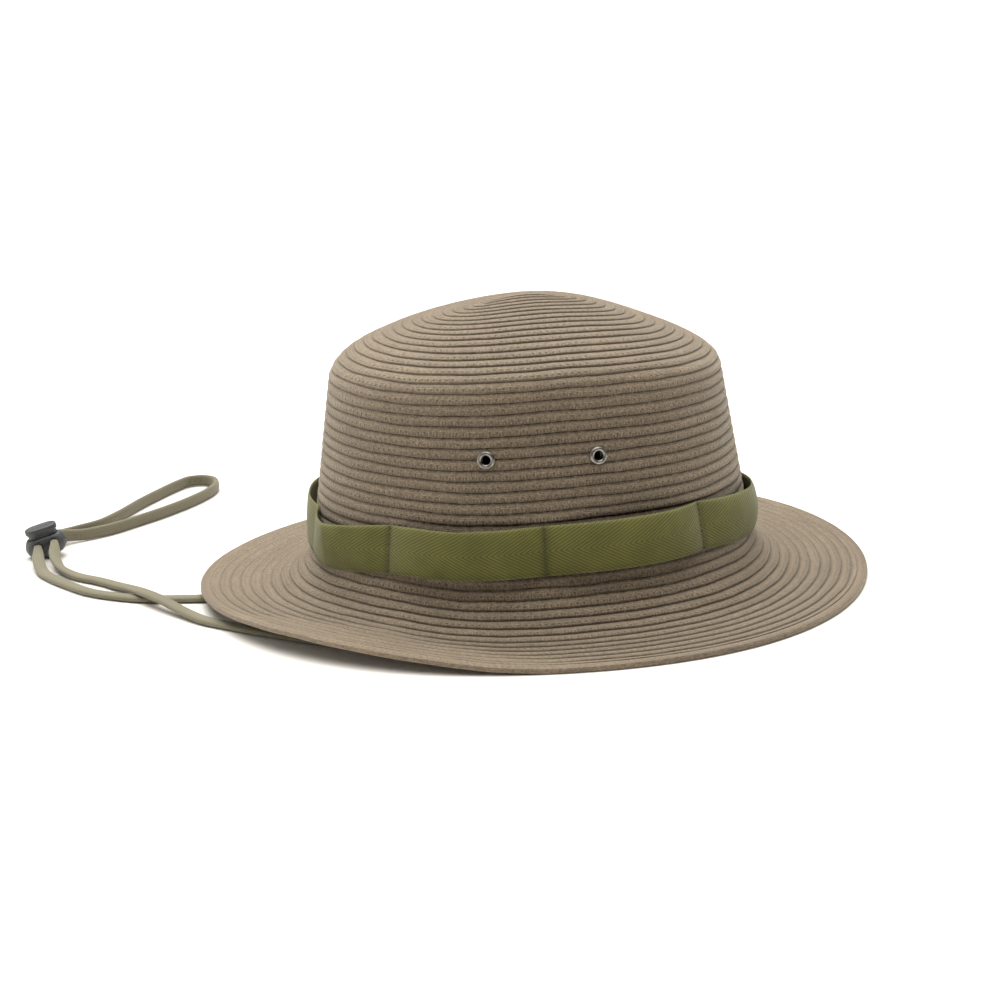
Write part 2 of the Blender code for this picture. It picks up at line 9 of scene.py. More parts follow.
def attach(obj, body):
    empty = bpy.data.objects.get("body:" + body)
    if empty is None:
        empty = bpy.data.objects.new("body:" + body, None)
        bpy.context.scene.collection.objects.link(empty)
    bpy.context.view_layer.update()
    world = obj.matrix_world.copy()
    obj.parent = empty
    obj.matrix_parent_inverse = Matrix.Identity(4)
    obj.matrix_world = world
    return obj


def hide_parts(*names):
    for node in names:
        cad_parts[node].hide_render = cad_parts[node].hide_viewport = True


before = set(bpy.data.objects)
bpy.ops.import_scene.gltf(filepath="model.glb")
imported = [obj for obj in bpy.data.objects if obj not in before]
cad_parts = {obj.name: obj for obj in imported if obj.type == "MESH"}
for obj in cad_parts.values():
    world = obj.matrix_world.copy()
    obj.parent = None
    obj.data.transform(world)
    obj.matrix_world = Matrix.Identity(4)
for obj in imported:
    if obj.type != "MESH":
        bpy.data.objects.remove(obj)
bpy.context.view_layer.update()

# Sizes of the hat, the same as in the CAD model
TOP_HEIGHT, TOP_ARC, BRIM_ARC = 0.1328, 0.0851, 0.0687
STRIP_HALF, STRIP_ROUND, STRIP_DROP = 0.0153, 0.66, 0.0017
WALL_SLOPE, WALL_THICK = 81.0, 0.0020
EGG, SIDE_TILT = 0.08, 1.26
BRAID_ROW, HEM_EXTRA, BRIM_LIFT = 0.00473, 0.0006, 0.0085
BAND_WIDTH, BAND_THICK, SEAT_GAP = 0.0220, 0.0012, 0.0003
EYELET_DROP, EYELET_BORE, EYELET_BARREL = 0.0242, 0.0019, 0.0024
EYELET_FLANGE, EYELET_CROWN = 0.0040, 0.0009
TAB_WIDTH, TAB_THICK, TAB_LENGTH, TAB_RISE, TAB_GAP = 0.0120, 0.0016, 0.0220, 0.0140, 0.0005
LOCK_X, LOCK_Y, LOCK_TURN, LOCK_LEAN = -0.2307, 0.0940, 5.0, 13.0
LOCK_HALF, LOCK_ROUND, LOCK_HEIGHT, LOCK_FLOOR = 0.0105, 0.0061, 0.0096, 0.0008
LOCK_WALL, LOCK_END = 0.0021, 0.0031
HOLE_PITCH, HOLE_HEIGHT, HOLE_GAP = 0.0084, 0.0058, 0.0003
STEM_GAP, PRESS, CAP_GAP, CAP_THICK, CAP_OVERHANG = 0.0002, 0.0022, 0.0024, 0.0028, 0.0008
TUBE_RADIUS = 0.0019  # of the plain cord in the CAD model

TOP_SLOPES = [
    (0.03, 4.0, 4.0, 6.0, 6.0), (0.22, 8.5, 8.5, 9.0, 20.0), (0.44, 16.0, 16.0, 14.0, 23.0),
    (0.61, 28.0, 28.0, 18.5, 23.0), (0.72, 28.0, 28.0, 23.0, 26.0), (0.81, 28.0, 28.0, 34.0, 30.0),
    (0.86, 40.0, 40.0, 40.0, 33.0), (0.94, 70.0, 70.0, 60.0, 48.0), (1.00, 81.0, 81.0, 81.0, 81.0),
]
BRIM_SLOPES = [
    (0.03, 80.0), (0.10, 76.0), (0.17, 66.0), (0.23, 52.0), (0.30, 40.0), (0.37, 32.0), (0.43, 24.0),
    (0.50, 13.0), (0.57, 7.0), (0.63, 3.0), (0.77, 1.0), (0.87, 0.0), (1.00, 0.0),
]
LIFTS = [
    (0.0, 0.00, 0.00), (100.0, 0.00, 0.00), (120.0, 0.37, 0.24), (135.0, 0.53, 0.30),
    (150.0, 0.53, 0.36), (165.0, 0.53, 0.47), (180.0, 0.53, 0.59), (195.0, 0.53, 0.74),
    (210.0, 0.53, 0.95), (222.0, 0.50, 1.00), (234.0, 0.34, 0.82), (246.0, 0.06, 0.50),
    (256.0, 0.00, 0.15), (264.0, 0.00, 0.00), (360.0, 0.00, 0.00),
]
# Tack angle, drop, sag, peak, upper, belly, lower and sharpness of each loop of the band, as in the CAD
BAND_LOOPS = [
    (187.0, 0.33, 0.15, 0.42, 0.36, 0.03, 0.12, 0.90), (226.0, 0.24, -0.03, 0.50, 0.26, 0.02, 0.22, 0.10),
    (266.0, 0.15, 0.00, 0.55, 0.24, 0.02, 0.22, 0.10), (307.5, 0.13, 0.04, 0.55, 0.20, 0.10, 0.02, 0.65),
    (358.0, 0.47, 0.00, 0.50, 0.20, 0.04, 0.14, 0.15), (409.0, 0.52, 0.00, 0.48, 0.24, 0.02, 0.24, 0.10),
    (454.0, 0.25, 0.00, 0.50, 0.24, 0.02, 0.24, 0.10), (494.0, 0.26, 0.00, 0.52, 0.18, 0.03, 0.06, 0.30),
]
EYELETS = {
    "eyelet_near_left": (253.0, 1.00), "eyelet_near_right": (280.0, 1.08),
    "eyelet_far_left": (107.0, 1.00), "eyelet_far_right": (80.0, 1.08),
}
LOCK_LEVELS = [
    (0.00, 1.00, 0.60), (0.04, 0.80, 0.44), (0.10, 0.58, 0.28), (0.19, 0.33, 0.13), (0.30, 0.14, 0.04),
    (0.42, 0.03, 0.00), (0.55, 0.01, 0.00), (0.68, 0.10, 0.03), (0.80, 0.26, 0.11), (0.89, 0.43, 0.23),
    (0.96, 0.58, 0.38), (1.00, 0.76, 0.58),
]


def linked(name, data):
    made = bpy.data.objects.new(name, data)
    bpy.context.scene.collection.objects.link(made)
    return made


# Camera

VIEW_AZIMUTH, VIEW_ELEVATION, VIEW_ROLL = math.radians(-8.0), math.radians(16.1), math.radians(-2.7)
VIEW_TARGET, VIEW_DISTANCE = Vector((-0.0143, 0.0, 0.0363)), 1.0
VIEW_LENS, VIEW_SENSOR = 76.68, 36.0  # millimetres


def make_camera():
    back = Vector((math.sin(VIEW_AZIMUTH)*math.cos(VIEW_ELEVATION),
                   -math.cos(VIEW_AZIMUTH)*math.cos(VIEW_ELEVATION), math.sin(VIEW_ELEVATION)))
    right = Vector((math.cos(VIEW_AZIMUTH), math.sin(VIEW_AZIMUTH), 0.0))
    up = back.cross(right)
    side = right*math.cos(VIEW_ROLL) + up*math.sin(VIEW_ROLL)
    head = up*math.cos(VIEW_ROLL) - right*math.sin(VIEW_ROLL)
    camera = linked("camera", bpy.data.cameras.new("camera"))
    camera.matrix_world = Matrix.Translation(VIEW_TARGET + back*VIEW_DISTANCE) @ Matrix(
        (side, head, back)).transposed().to_4x4()
    camera.data.lens, camera.data.sensor_width = VIEW_LENS, VIEW_SENSOR
    bpy.context.scene.camera = camera


make_camera()


# Node helpers

class Look:
    """A material built from nodes. Numbers and colours go straight onto a node's sockets."""

    def __init__(self, name, **fixed):
        self.made = bpy.data.materials.new(name)
        self.made.use_nodes = True
        self.tree = self.made.node_tree
        self.shader = self.tree.nodes["Principled BSDF"]
        for socket, value in fixed.items():
            self.shader.inputs[socket.replace("_", " ")].default_value = value

    def put(self, socket, value):
        if isinstance(value, bpy.types.NodeSocket):
            self.tree.links.new(value, socket)
        elif value is not None:
            socket.default_value = value

    def node(self, kind, *values):
        """New node, with values on its first sockets."""
        node = self.tree.nodes.new("ShaderNode" + kind)
        for socket, value in zip(node.inputs, values):
            self.put(socket, value)
        return node

    def math(self, what, a, b=None):
        node = self.node("Math", a, b)
        node.operation = what
        return node.outputs[0]

    def plus(self, a, b):
        return self.math("ADD", a, b)

    def minus(self, a, b):
        return self.math("SUBTRACT", a, b)

    def times(self, a, b):
        return self.math("MULTIPLY", a, b)

    def sine(self, a):
        return self.math("SINE", a)

    def product(self, first, *others):
        for other in others:
            first = self.times(first, other)
        return first

    def vector(self, x, y=0.0, z=0.0):
        return self.node("CombineXYZ", x, y, z).outputs[0]

    def uv(self):
        return self.node("SeparateXYZ", self.node("TexCoord").outputs["UV"]).outputs[:2]

    def place(self):
        return self.node("TexCoord").outputs["Object"]

    def marked(self, name):
        """Value that the mesh carries at each of its points."""
        node = self.node("Attribute")
        node.attribute_name = name
        return node.outputs["Fac"]

    def noise(self, where, scale, detail=2.0, rough=0.5):
        node = self.node("TexNoise", where)
        for socket, value in (("Scale", scale), ("Detail", detail), ("Roughness", rough)):
            node.inputs[socket].default_value = value
        return node.outputs[0]

    def span(self, value, low, high, to_low=0.0, to_high=1.0, smooth=False):
        node = self.node("MapRange", value, low, high, to_low, to_high)
        node.interpolation_type = "SMOOTHSTEP" if smooth else "LINEAR"
        return node.outputs[0]

    def mix(self, share, a, b, blend="MIX"):
        node = self.node("Mix")
        node.data_type = "RGBA"
        node.blend_type = blend
        for socket, value in ((0, share), (6, a), (7, b)):
            self.put(node.inputs[socket], (*value, 1.0) if isinstance(value, tuple) else value)
        return node.outputs[2]

    def shaded(self, colour, shade):
        return self.mix(1.0, colour, self.vector(shade, shade, shade), "MULTIPLY")

    def finish(self, colour, height=None, depth=0.0002, strength=0.7, roughness=None):
        self.put(self.shader.inputs["Base Color"], colour)
        self.put(self.shader.inputs["Roughness"], roughness)
        if height is not None:
            bump = self.node("Bump")
            bump.inputs["Strength"].default_value = strength
            bump.inputs["Distance"].default_value = depth
            self.put(bump.inputs["Height"], height)
            self.put(self.shader.inputs["Normal"], bump.outputs[0])
        return self.made


STITCH = 0.62  # from one stitch to the next along a row, in rows
TOOTH = 0.31  # from one straw end to the next, in rows
PLAIT_ALONG, PLAIT_ACROSS = 21.0, 20.0  # turn of the plait's strands, in radians a row


def braid_look(name, stitch_at, seam_shade_share):
    """Woven braid. U runs along the row and V across it, in rows. Stitches lie at a share of a row, and
    the last argument sets how dark the painted shade in the seams is.
    """
    look = Look(name, Sheen_Weight=0.40, Sheen_Roughness=0.45, Sheen_Tint=(1.0, 0.95, 0.86, 1.0),
                Specular_IOR_Level=0.36)
    u, v = look.uv()
    seam_shade = look.marked("seam_depth_and_shade")
    row, across = look.math("FLOOR", v), look.math("FRACT", v)
    middle = look.math("ABSOLUTE", look.minus(across, 0.5))
    # Plait: diagonal strands that turn back at the middle and at the edges of the row
    slant = look.plus(look.times(u, PLAIT_ALONG), look.times(middle, PLAIT_ACROSS))
    other = look.minus(look.times(u, PLAIT_ALONG), look.times(middle, PLAIT_ACROSS))
    weave = look.times(look.sine(slant), look.sine(other))
    where = look.vector(u, look.times(v, 1.5), row)
    grain = look.noise(where, 8.0, 3.0, 0.7)
    fleck = look.noise(where, 3.4, 3.0, 0.65)
    streak = look.noise(look.vector(look.times(u, 0.30), look.times(v, 5.0), row), 4.0, 2.0)
    tone = look.noise(look.vector(look.times(u, 0.05), look.times(row, 7.3)), 2.0, 1.0)
    patch = look.noise(look.place(), 26.0, 2.0)
    light = look.mix(streak, (0.235, 0.184, 0.124), (0.336, 0.266, 0.198))
    colour = look.mix(look.span(grain, 0.34, 0.62), (0.137, 0.103, 0.063), light)
    shade = look.product(look.span(tone, 0.2, 0.8, 0.86, 1.12), look.span(patch, 0.2, 0.8, 0.94, 1.06),
                         look.span(weave, -1.0, 1.0, 0.80, 1.15), look.span(fleck, 0.33, 0.67, 0.66, 1.28),
                         # Painted shade: rows with deep seams between them shade each other
                         look.span(seam_shade, 0.45, 1.0, 1.05, 0.90))
    colour = look.shaded(colour, shade)
    # Painted shade in the seam between two rows, ragged where the straw ends stand up
    ragged = look.plus(across, look.span(grain, 0.3, 0.7, -0.035, 0.035))
    seam = look.span(ragged, 0.02, 0.35, 1.0, 0.0, True)
    seam = look.math("MAXIMUM", seam, look.span(ragged, 0.84, 1.0, 0.0, 0.9, True))
    # Straw ends stand over the seam like teeth, with painted shade in the gaps between them
    teeth = look.span(look.sine(look.times(u, 2*math.pi/TOOTH)), -0.4, 0.8)
    teeth = look.times(teeth, look.span(fleck, 0.36, 0.58, 0.3, 1.0))
    seam = look.math("MAXIMUM", seam, look.times(teeth, look.span(ragged, 0.58, 0.80, 0.0, 0.95, True)))
    dash = look.noise(look.vector(look.times(u, 1.3/STITCH), look.times(row, 3.7)), 1.0, 0.0)
    seam = look.times(seam, look.span(dash, 0.38, 0.58, 0.50*seam_shade_share, seam_shade_share))
    # Painted seam shade, deeper where the seams are deep
    colour = look.mix(look.times(seam, seam_shade), colour, (0.044, 0.032, 0.017))
    # Stitches: a small dark dip every stitch length, some drawn in deeper than others
    step = look.math("FRACT", look.plus(look.math("DIVIDE", u, STITCH), look.times(row, 0.37)))
    along = look.times(look.minus(step, 0.5), STITCH*0.8)
    drift = look.noise(look.vector(look.times(u, 1.7), row), 1.0, 0.0)
    off = look.minus(across, look.plus(stitch_at - 0.06, look.times(drift, 0.12)))
    apart = look.math("SQRT", look.plus(look.math("POWER", along, 2.0), look.math("POWER", off, 2.0)))
    depth = look.noise(look.vector(look.times(u, 0.8), row), 1.3, 1.0)
    dip = look.times(look.span(apart, 0.14, 0.05, 0.0, 1.0, True), look.span(depth, 0.30, 0.55))
    colour = look.mix(look.times(dip, 0.60), colour, (0.052, 0.040, 0.023))
    height = look.plus(look.times(weave, 0.35), look.times(grain, 1.1))
    height = look.plus(height, look.times(fleck, 1.6))
    height = look.minus(height, look.times(dip, 1.4))
    return look.finish(colour, height, 0.00028, 0.8, look.span(grain, 0.3, 0.7, 0.80, 0.60))


# Herringbone: slant of a rib, and how many ribs, yarns and picks lie in one width of the band
RIB_SLANT, RIBS, YARNS, PICKS = 0.577, 15.2, 26.0, 30.0


def webbing_look():
    """Herringbone webbing. U runs along it in metres and V across it, from 0 to 1."""
    look = Look("olive_webbing_cloth", Sheen_Weight=0.22, Sheen_Roughness=0.5, Specular_IOR_Level=0.30)
    u, v = look.uv()
    along = look.math("DIVIDE", u, BAND_WIDTH)
    middle = look.math("ABSOLUTE", look.minus(v, 0.5))
    wander = look.noise(look.vector(along, v), 3.0, 1.0)
    rib = look.minus(look.times(along, RIB_SLANT), middle)
    rib = look.plus(rib, look.times(wander, 0.018))
    rib = look.sine(look.times(rib, 2*math.pi*RIBS))
    yarn = look.sine(look.times(along, 2*math.pi*YARNS))
    pick = look.sine(look.times(v, 2*math.pi*PICKS))
    cross = look.times(yarn, pick)
    fine = look.noise(look.vector(along, v), 60.0, 2.0, 0.6)
    broad = look.noise(look.vector(along, v), 1.6, 2.0)
    selvedge = look.span(middle, 0.455, 0.475, 0.0, 1.0, True)
    bead = look.times(selvedge, look.span(yarn, -0.2, 0.9))
    colour = look.mix(look.span(rib, -0.8, 0.9), (0.085, 0.086, 0.016), (0.146, 0.149, 0.034))
    colour = look.mix(look.times(bead, 0.55), colour, (0.302, 0.294, 0.143))
    shade = look.product(look.span(fine, 0.25, 0.75, 0.82, 1.16), look.span(broad, 0.25, 0.75, 0.84, 1.14),
                         look.span(cross, -1.0, 1.0, 0.93, 1.05),
                         # Painted shade along the tacks
                         look.span(look.marked("tack"), 0.0, 1.0, 1.0, 0.60))
    colour = look.shaded(colour, shade)
    height = look.plus(look.times(rib, 0.5), look.times(cross, 0.35))
    height = look.plus(height, look.times(bead, 1.2))
    return look.finish(colour, height, 0.00013, 0.8, look.span(fine, 0.3, 0.7, 0.80, 0.66))


CORD_PLAIT, CORD_STRANDS = 0.0022, 9  # pitch of the cord's braid, and strands round it


def cord_look():
    """Flat braided cord. U runs along it in metres and V round it, from 0 to 1."""
    look = Look("cord_braid", Sheen_Weight=0.20, Sheen_Roughness=0.5, Specular_IOR_Level=0.28)
    u, v = look.uv()
    along, around = look.times(u, 2*math.pi/CORD_PLAIT), look.times(v, 2*math.pi*CORD_STRANDS)
    one = look.sine(look.plus(along, around))
    two = look.sine(look.minus(along, around))
    weave = look.times(one, two)
    fine = look.noise(look.place(), 2600.0, 2.0)
    broad = look.noise(look.vector(look.times(u, 30.0)), 1.0, 2.0)
    colour = look.mix(look.span(weave, -0.8, 0.8), (0.158, 0.145, 0.095), (0.200, 0.185, 0.127))
    shade = look.times(look.span(fine, 0.25, 0.75, 0.88, 1.10), look.span(broad, 0.25, 0.75, 0.93, 1.07))
    colour = look.shaded(colour, shade)
    return look.finish(colour, weave, 0.00010, 0.6, look.span(fine, 0.3, 0.7, 0.78, 0.66))


def metal_look():
    look = Look("dark_eyelet_metal", Metallic=1.0)
    worn = look.noise(look.place(), 900.0, 3.0)
    ripple = look.noise(look.place(), 260.0, 1.0)
    colour = look.mix(look.span(worn, 0.35, 0.70), (0.180, 0.169, 0.153), (0.378, 0.360, 0.335))
    return look.finish(colour, ripple, 0.00004, 0.4, look.span(worn, 0.3, 0.7, 0.40, 0.26))


def plastic_look():
    look = Look("lock_moulding", Specular_IOR_Level=0.45)
    grain = look.noise(look.place(), 2200.0, 2.0)
    wear = look.noise(look.place(), 170.0, 2.0)
    colour = look.mix(look.span(wear, 0.3, 0.7), (0.043, 0.047, 0.052), (0.064, 0.070, 0.076))
    return look.finish(colour, grain, 0.00005, 0.5, look.span(wear, 0.3, 0.7, 0.52, 0.40))


def thread_look(name, colour):
    look = Look(name, Sheen_Weight=0.15, Specular_IOR_Level=0.3)
    ply = look.noise(look.place(), 3500.0, 1.0)
    return look.finish(look.mix(ply, tuple(c*0.7 for c in colour), colour), ply, 0.00006, 0.6, 0.75)


BRAID = braid_look("sewn_braid", 0.64, 0.95)
INNER_BRAID = braid_look("sewn_braid_inside", 0.30, 0.80)
WEBBING = webbing_look()
CORD = cord_look()
METAL = metal_look()
PLASTIC = plastic_look()
BAND_THREAD = thread_look("band_thread", (0.072, 0.071, 0.019))


def between(rows, column, share):
    """Value of a table's column at a share, on straight lines between its rows."""
    if share <= rows[0][0]:
        return rows[0][column]
    for low, high in zip(rows, rows[1:]):
        if share <= high[0]:
            part = (share - low[0])/(high[0] - low[0])
            return low[column] + (high[column] - low[column])*part
    return rows[-1][column]


# Outer face of the hat, the same as in the CAD model

SECTION_STEPS = 120
HEM_START = 3 - BRAID_ROW/BRIM_ARC
EDGE_HEIGHT = WALL_THICK + HEM_EXTRA
section_cache = {}


def top_slope(turn, share):
    side, depth = math.cos(turn), math.sin(turn)
    weights = (max(-depth, 0)**2, max(depth, 0)**2, max(-side, 0)**2, max(side, 0)**2)
    return sum(weight*between(TOP_SLOPES, 1 + k, share) for k, weight in enumerate(weights))


def run_and_fall(slope_at, length):
    runs, falls = [0.0], [0.0]
    for step in range(SECTION_STEPS):
        slope = math.radians(slope_at((step + 0.5)/SECTION_STEPS))
        runs.append(runs[-1] + length/SECTION_STEPS*math.cos(slope))
        falls.append(falls[-1] + length/SECTION_STEPS*math.sin(slope))
    return runs, falls


BRIM_SUMS = run_and_fall(lambda share: between(BRIM_SLOPES, 1, share), BRIM_ARC)


def section(turn):
    """Sums along the top, fall of the wall and rise of the brim's edge, at an angle."""
    key = round(turn % (2*math.pi), 7)
    if key not in section_cache:
        angle = math.degrees(turn) % 360
        foot, edge = BRIM_LIFT*between(LIFTS, 1, angle), BRIM_LIFT*between(LIFTS, 2, angle)
        top = run_and_fall(lambda share: top_slope(turn, share), TOP_ARC)
        wall_fall = TOP_HEIGHT - EDGE_HEIGHT - foot - top[1][-1] - BRIM_SUMS[1][-1]
        section_cache[key] = (top, wall_fall, edge - foot)
    return section_cache[key]


def read(sums, share):
    place = min(max(share, 0.0), 1.0)*SECTION_STEPS
    low = min(int(place), SECTION_STEPS - 1)
    return sums[low] + (sums[low + 1] - sums[low])*(place - low)


def face(turn, place):
    """Point of the outer face. place is 0 to 1 on the top, 1 to 2 on the wall and 2 to 3 on the brim."""
    top, wall_fall, edge_rise = section(turn)
    wall_run = wall_fall/math.tan(math.radians(WALL_SLOPE))
    run, fall = read(top[0], place), read(top[1], place)
    if place > 1:
        run += wall_run*min(place - 1, 1)
        fall += wall_fall*min(place - 1, 1)
    if place > 2:
        run += read(BRIM_SUMS[0], place - 2)
        fall += read(BRIM_SUMS[1], place - 2)
    side, depth = math.cos(turn), math.sin(turn)
    strip = side*math.sqrt(1 + STRIP_ROUND**2)/math.sqrt(side*side + STRIP_ROUND**2)
    x = STRIP_HALF*strip + run*side
    y = run*depth*(1 + EGG*x/HALF_LENGTH)
    brim_share = min(max(place - 2, 0)/(HEM_START - 2), 1)
    rise = math.tan(math.radians(SIDE_TILT))*x - STRIP_DROP*strip*strip
    z = TOP_HEIGHT - fall + rise*(1 - brim_share)
    z += edge_rise*brim_share**2
    return Vector((x - CENTRE_X, y, z))


HALF_LENGTH, CENTRE_X = 1.0, 0.0
right_reach, left_reach = face(0.0, 3.0).x, face(math.pi, 3.0).x
HALF_LENGTH = (right_reach - left_reach)/2
CENTRE_X = (right_reach + left_reach)/2


def outward(turn, place, step=0.002):
    """Unit normal of the hat's surface, out of the crown and up from the brim."""
    along = face(turn, min(place + step, 3.0)) - face(turn, place - step)
    around = face(turn + step, place) - face(turn - step, place)
    return along.cross(around).normalized()


def skin(turn, place, offset):
    return face(turn, place) + outward(turn, place)*offset


def wall_length(turn):
    return section(turn)[1]/math.sin(math.radians(WALL_SLOPE))


def wall_place(turn, down):
    """Place at a distance below the foot of the wall."""
    return 2 + down/(BRIM_ARC if down > 0 else wall_length(turn))


# Making pieces

def add_mesh(name, verts, faces, look, uvs=None, merge=0.0, sharp=None, marks=None):
    """Mesh object with smooth faces. uvs holds one pair for each vertex, marks named values of each."""
    mesh = bpy.data.meshes.new(name)
    mesh.from_pydata([tuple(v) for v in verts], [], faces)
    if uvs:
        layer = mesh.uv_layers.new(name="UVMap")
        layer.data.foreach_set("uv", [value for loop in mesh.loops for value in uvs[loop.vertex_index]])
    for mark, values in (marks or {}).items():
        mesh.attributes.new(mark, "FLOAT", "POINT").data.foreach_set("value", values)
    shape = bmesh.new()
    shape.from_mesh(mesh)
    if merge:
        bmesh.ops.remove_doubles(shape, verts=shape.verts, dist=merge)
    bmesh.ops.recalc_face_normals(shape, faces=shape.faces)
    shape.to_mesh(mesh)
    shape.free()
    mesh.shade_smooth()
    if sharp:
        mesh.set_sharp_from_angle(angle=math.radians(sharp))
    mesh.materials.append(look)
    return linked(name, mesh)


def path_lengths(points):
    """Length of a path up to each of its points."""
    lengths = [0.0]
    for low, high in zip(points, points[1:]):
        lengths.append(lengths[-1] + (high - low).length)
    return lengths


def strip_faces(rows, columns, closed_rows=False, closed_columns=False, base=0):
    """Faces between rows of points, each row with its points one after another from point base."""
    faces = []
    for row in range(rows if closed_rows else rows - 1):
        for column in range(columns if closed_columns else columns - 1):
            here, after = base + row*columns, base + (row + 1) % rows*columns
            nxt = (column + 1) % columns
            faces.append((here + column, here + nxt, after + nxt, after + column))
    return faces


def closed_tube(rows, columns, base=0):
    """Faces of a tube with both ends closed."""
    last = base + (rows - 1)*columns
    ends = [tuple(range(base, base + columns)), tuple(range(last, last + columns))]
    return strip_faces(rows, columns, closed_columns=True, base=base) + ends


def dressed(piece, node, body="hat"):
    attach(piece, body)
    if node:
        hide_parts(node)


def facing(place, axis):
    z = axis.normalized()
    x = Vector((0, 0, 1)).cross(z).normalized()
    made = Matrix((x, z.cross(x), z)).transposed().to_4x4()
    made.translation = place
    return made


# Chin cord: a flat cord, so its section has a width and a thickness

CORD_WIDTH, CORD_FLAT = 0.0060, 0.0029
CORD_CLEAR = 0.0001  # between the lying cord and the floor
CORD_LYING = CORD_FLAT/2 + CORD_CLEAR  # height of its middle where it lies flat
CORD_STEP, CORD_SIDES = 0.0016, 20
FINE_STEPS = 12  # between two points of the route
CORD_SQUARE = 0.8  # of its section, 1 is an ellipse
MOUTH, LEAD = 0.0008, 0.0023  # from a face of the lock to the first two points of the cord
TAB_LEAD = 0.0015  # from a tab to the cord's second point
# Squeezed in the lock and at its ends: the length that it takes, how fast it sets in, and half a section
LOCK_SQUEEZE, LOCK_GRIP = 0.016, 1.9
TAB_SQUEEZE, TAB_GRIP, TAB_HOLD = 0.010, 1.6, 0.6
SQUEEZED_WIDTH, SQUEEZED_FLAT = 0.00205, 0.0018
# Route: x, y and the height of the middle above where it lies flat
ROUTE_NEAR = [
    (0.0000, -0.0838, 0.0120), (-0.0030, -0.0835, 0.0060), (-0.0100, -0.0822, 0.0014),
    (-0.0220, -0.0800, 0.0), (-0.0400, -0.0790, 0.0), (-0.0600, -0.0815, 0.0),
    (-0.0800, -0.0850, 0.0), (-0.0960, -0.0825, 0.0), (-0.1090, -0.0740, 0.0),
    (-0.1230, -0.0625, 0.0), (-0.1350, -0.0525, 0.0), (-0.1460, -0.0425, 0.0),
    (-0.1560, -0.0330, 0.0002), (-0.1660, -0.0195, 0.0014), (-0.1745, -0.0070, 0.0030),
    (-0.1830, 0.0065, 0.0031), (-0.1895, 0.0185, 0.0017), (-0.1960, 0.0295, 0.0003),
    (-0.2045, 0.0400, 0.0), (-0.2140, 0.0490, 0.0), (-0.2218, 0.0595, 0.0004),
    (-0.2262, 0.0715, 0.0028),
]
ROUTE_LOOP = [
    (-0.2266, 0.1073, 0.0052), (-0.2241, 0.1111, 0.0038), (-0.2203, 0.1136, 0.0026),
    (-0.2130, 0.1163, 0.0017), (-0.2000, 0.1228, 0.0016), (-0.1860, 0.1345, 0.0016),
    (-0.1730, 0.1465, 0.0016), (-0.1620, 0.1585, 0.0016), (-0.1530, 0.1705, 0.0016),
    (-0.1470, 0.1815, 0.0016), (-0.1446, 0.1905, 0.0016), (-0.1456, 0.1982, 0.0016),
    (-0.1514, 0.2040, 0.0016), (-0.1594, 0.2038, 0.0016), (-0.1655, 0.1975, 0.0016),
    (-0.1745, 0.1845, 0.0016), (-0.1860, 0.1660, 0.0016), (-0.1965, 0.1465, 0.0016),
    (-0.2065, 0.1320, 0.0016), (-0.2170, 0.1225, 0.0022), (-0.2270, 0.1150, 0.0026),
    (-0.2335, 0.1078, 0.0040),
]
ROUTE_FAR = [
    (-0.2348, 0.0745, 0.0028), (-0.2325, 0.0625, 0.0004), (-0.2275, 0.0515, 0.0),
    (-0.2190, 0.0380, 0.0), (-0.2090, 0.0245, 0.0), (-0.1970, 0.0145, 0.0),
    (-0.1830, 0.0065, 0.0), (-0.1680, 0.0020, 0.0), (-0.1510, -0.0015, 0.0),
    (-0.1320, -0.0020, 0.0), (-0.1100, 0.0040, 0.0), (-0.0860, 0.0180, 0.0),
    (-0.0620, 0.0380, 0.0), (-0.0440, 0.0560, 0.0), (-0.0290, 0.0710, 0.0),
    (-0.0130, 0.0800, 0.0011), (-0.0035, 0.0830, 0.0056), (0.0000, 0.0838, 0.0120),
]
LEAN = math.radians(LOCK_LEAN)
LOCK_RISE = max((LOCK_HALF - end*LOCK_END)*math.sin(LEAN) - height*LOCK_HEIGHT*math.cos(LEAN)
                for height, end, wall in LOCK_LEVELS)
LOCK_SEAT = (Matrix.Translation((LOCK_X, LOCK_Y, LOCK_RISE))
             @ Matrix.Rotation(math.radians(LOCK_TURN), 4, "Z") @ Matrix.Rotation(-LEAN, 4, "Y"))


def tab_seat(angle):
    turn = math.radians(angle)
    place = wall_place(turn, -TAB_RISE)
    return facing(face(turn, place), outward(turn, place))


def tab_end(angle, below):
    depth = -WALL_THICK - TAB_GAP - TUBE_RADIUS
    return tab_seat(angle) @ Vector((0.0, -TAB_LENGTH - below, depth))


def in_lock(side, *alongs):
    return [LOCK_SEAT @ Vector((side*HOLE_PITCH/2, along, HOLE_HEIGHT)) for along in alongs]


def blend(low, high, start, end, at):
    return low*((end - at)/(end - start)) + high*((at - start)/(end - start))


def smooth_point(p0, p1, p2, p3, share):
    """Point between the middle two of four points, on a smooth curve through all of them."""
    times = [0.0]
    for low, high in ((p0, p1), (p1, p2), (p2, p3)):
        times.append(times[-1] + max((high - low).length, 1e-6)**0.5)
    t0, t1, t2, t3 = times
    t = t1 + (t2 - t1)*share
    middle = blend(p1, p2, t1, t2, t)
    before = blend(blend(p0, p1, t0, t1, t), middle, t0, t2, t)
    after = blend(middle, blend(p2, p3, t2, t3, t), t1, t3, t)
    return blend(before, after, t1, t2, t)


def lying(rows):
    return [Vector((x, y, CORD_LYING + lift)) for x, y, lift in rows]


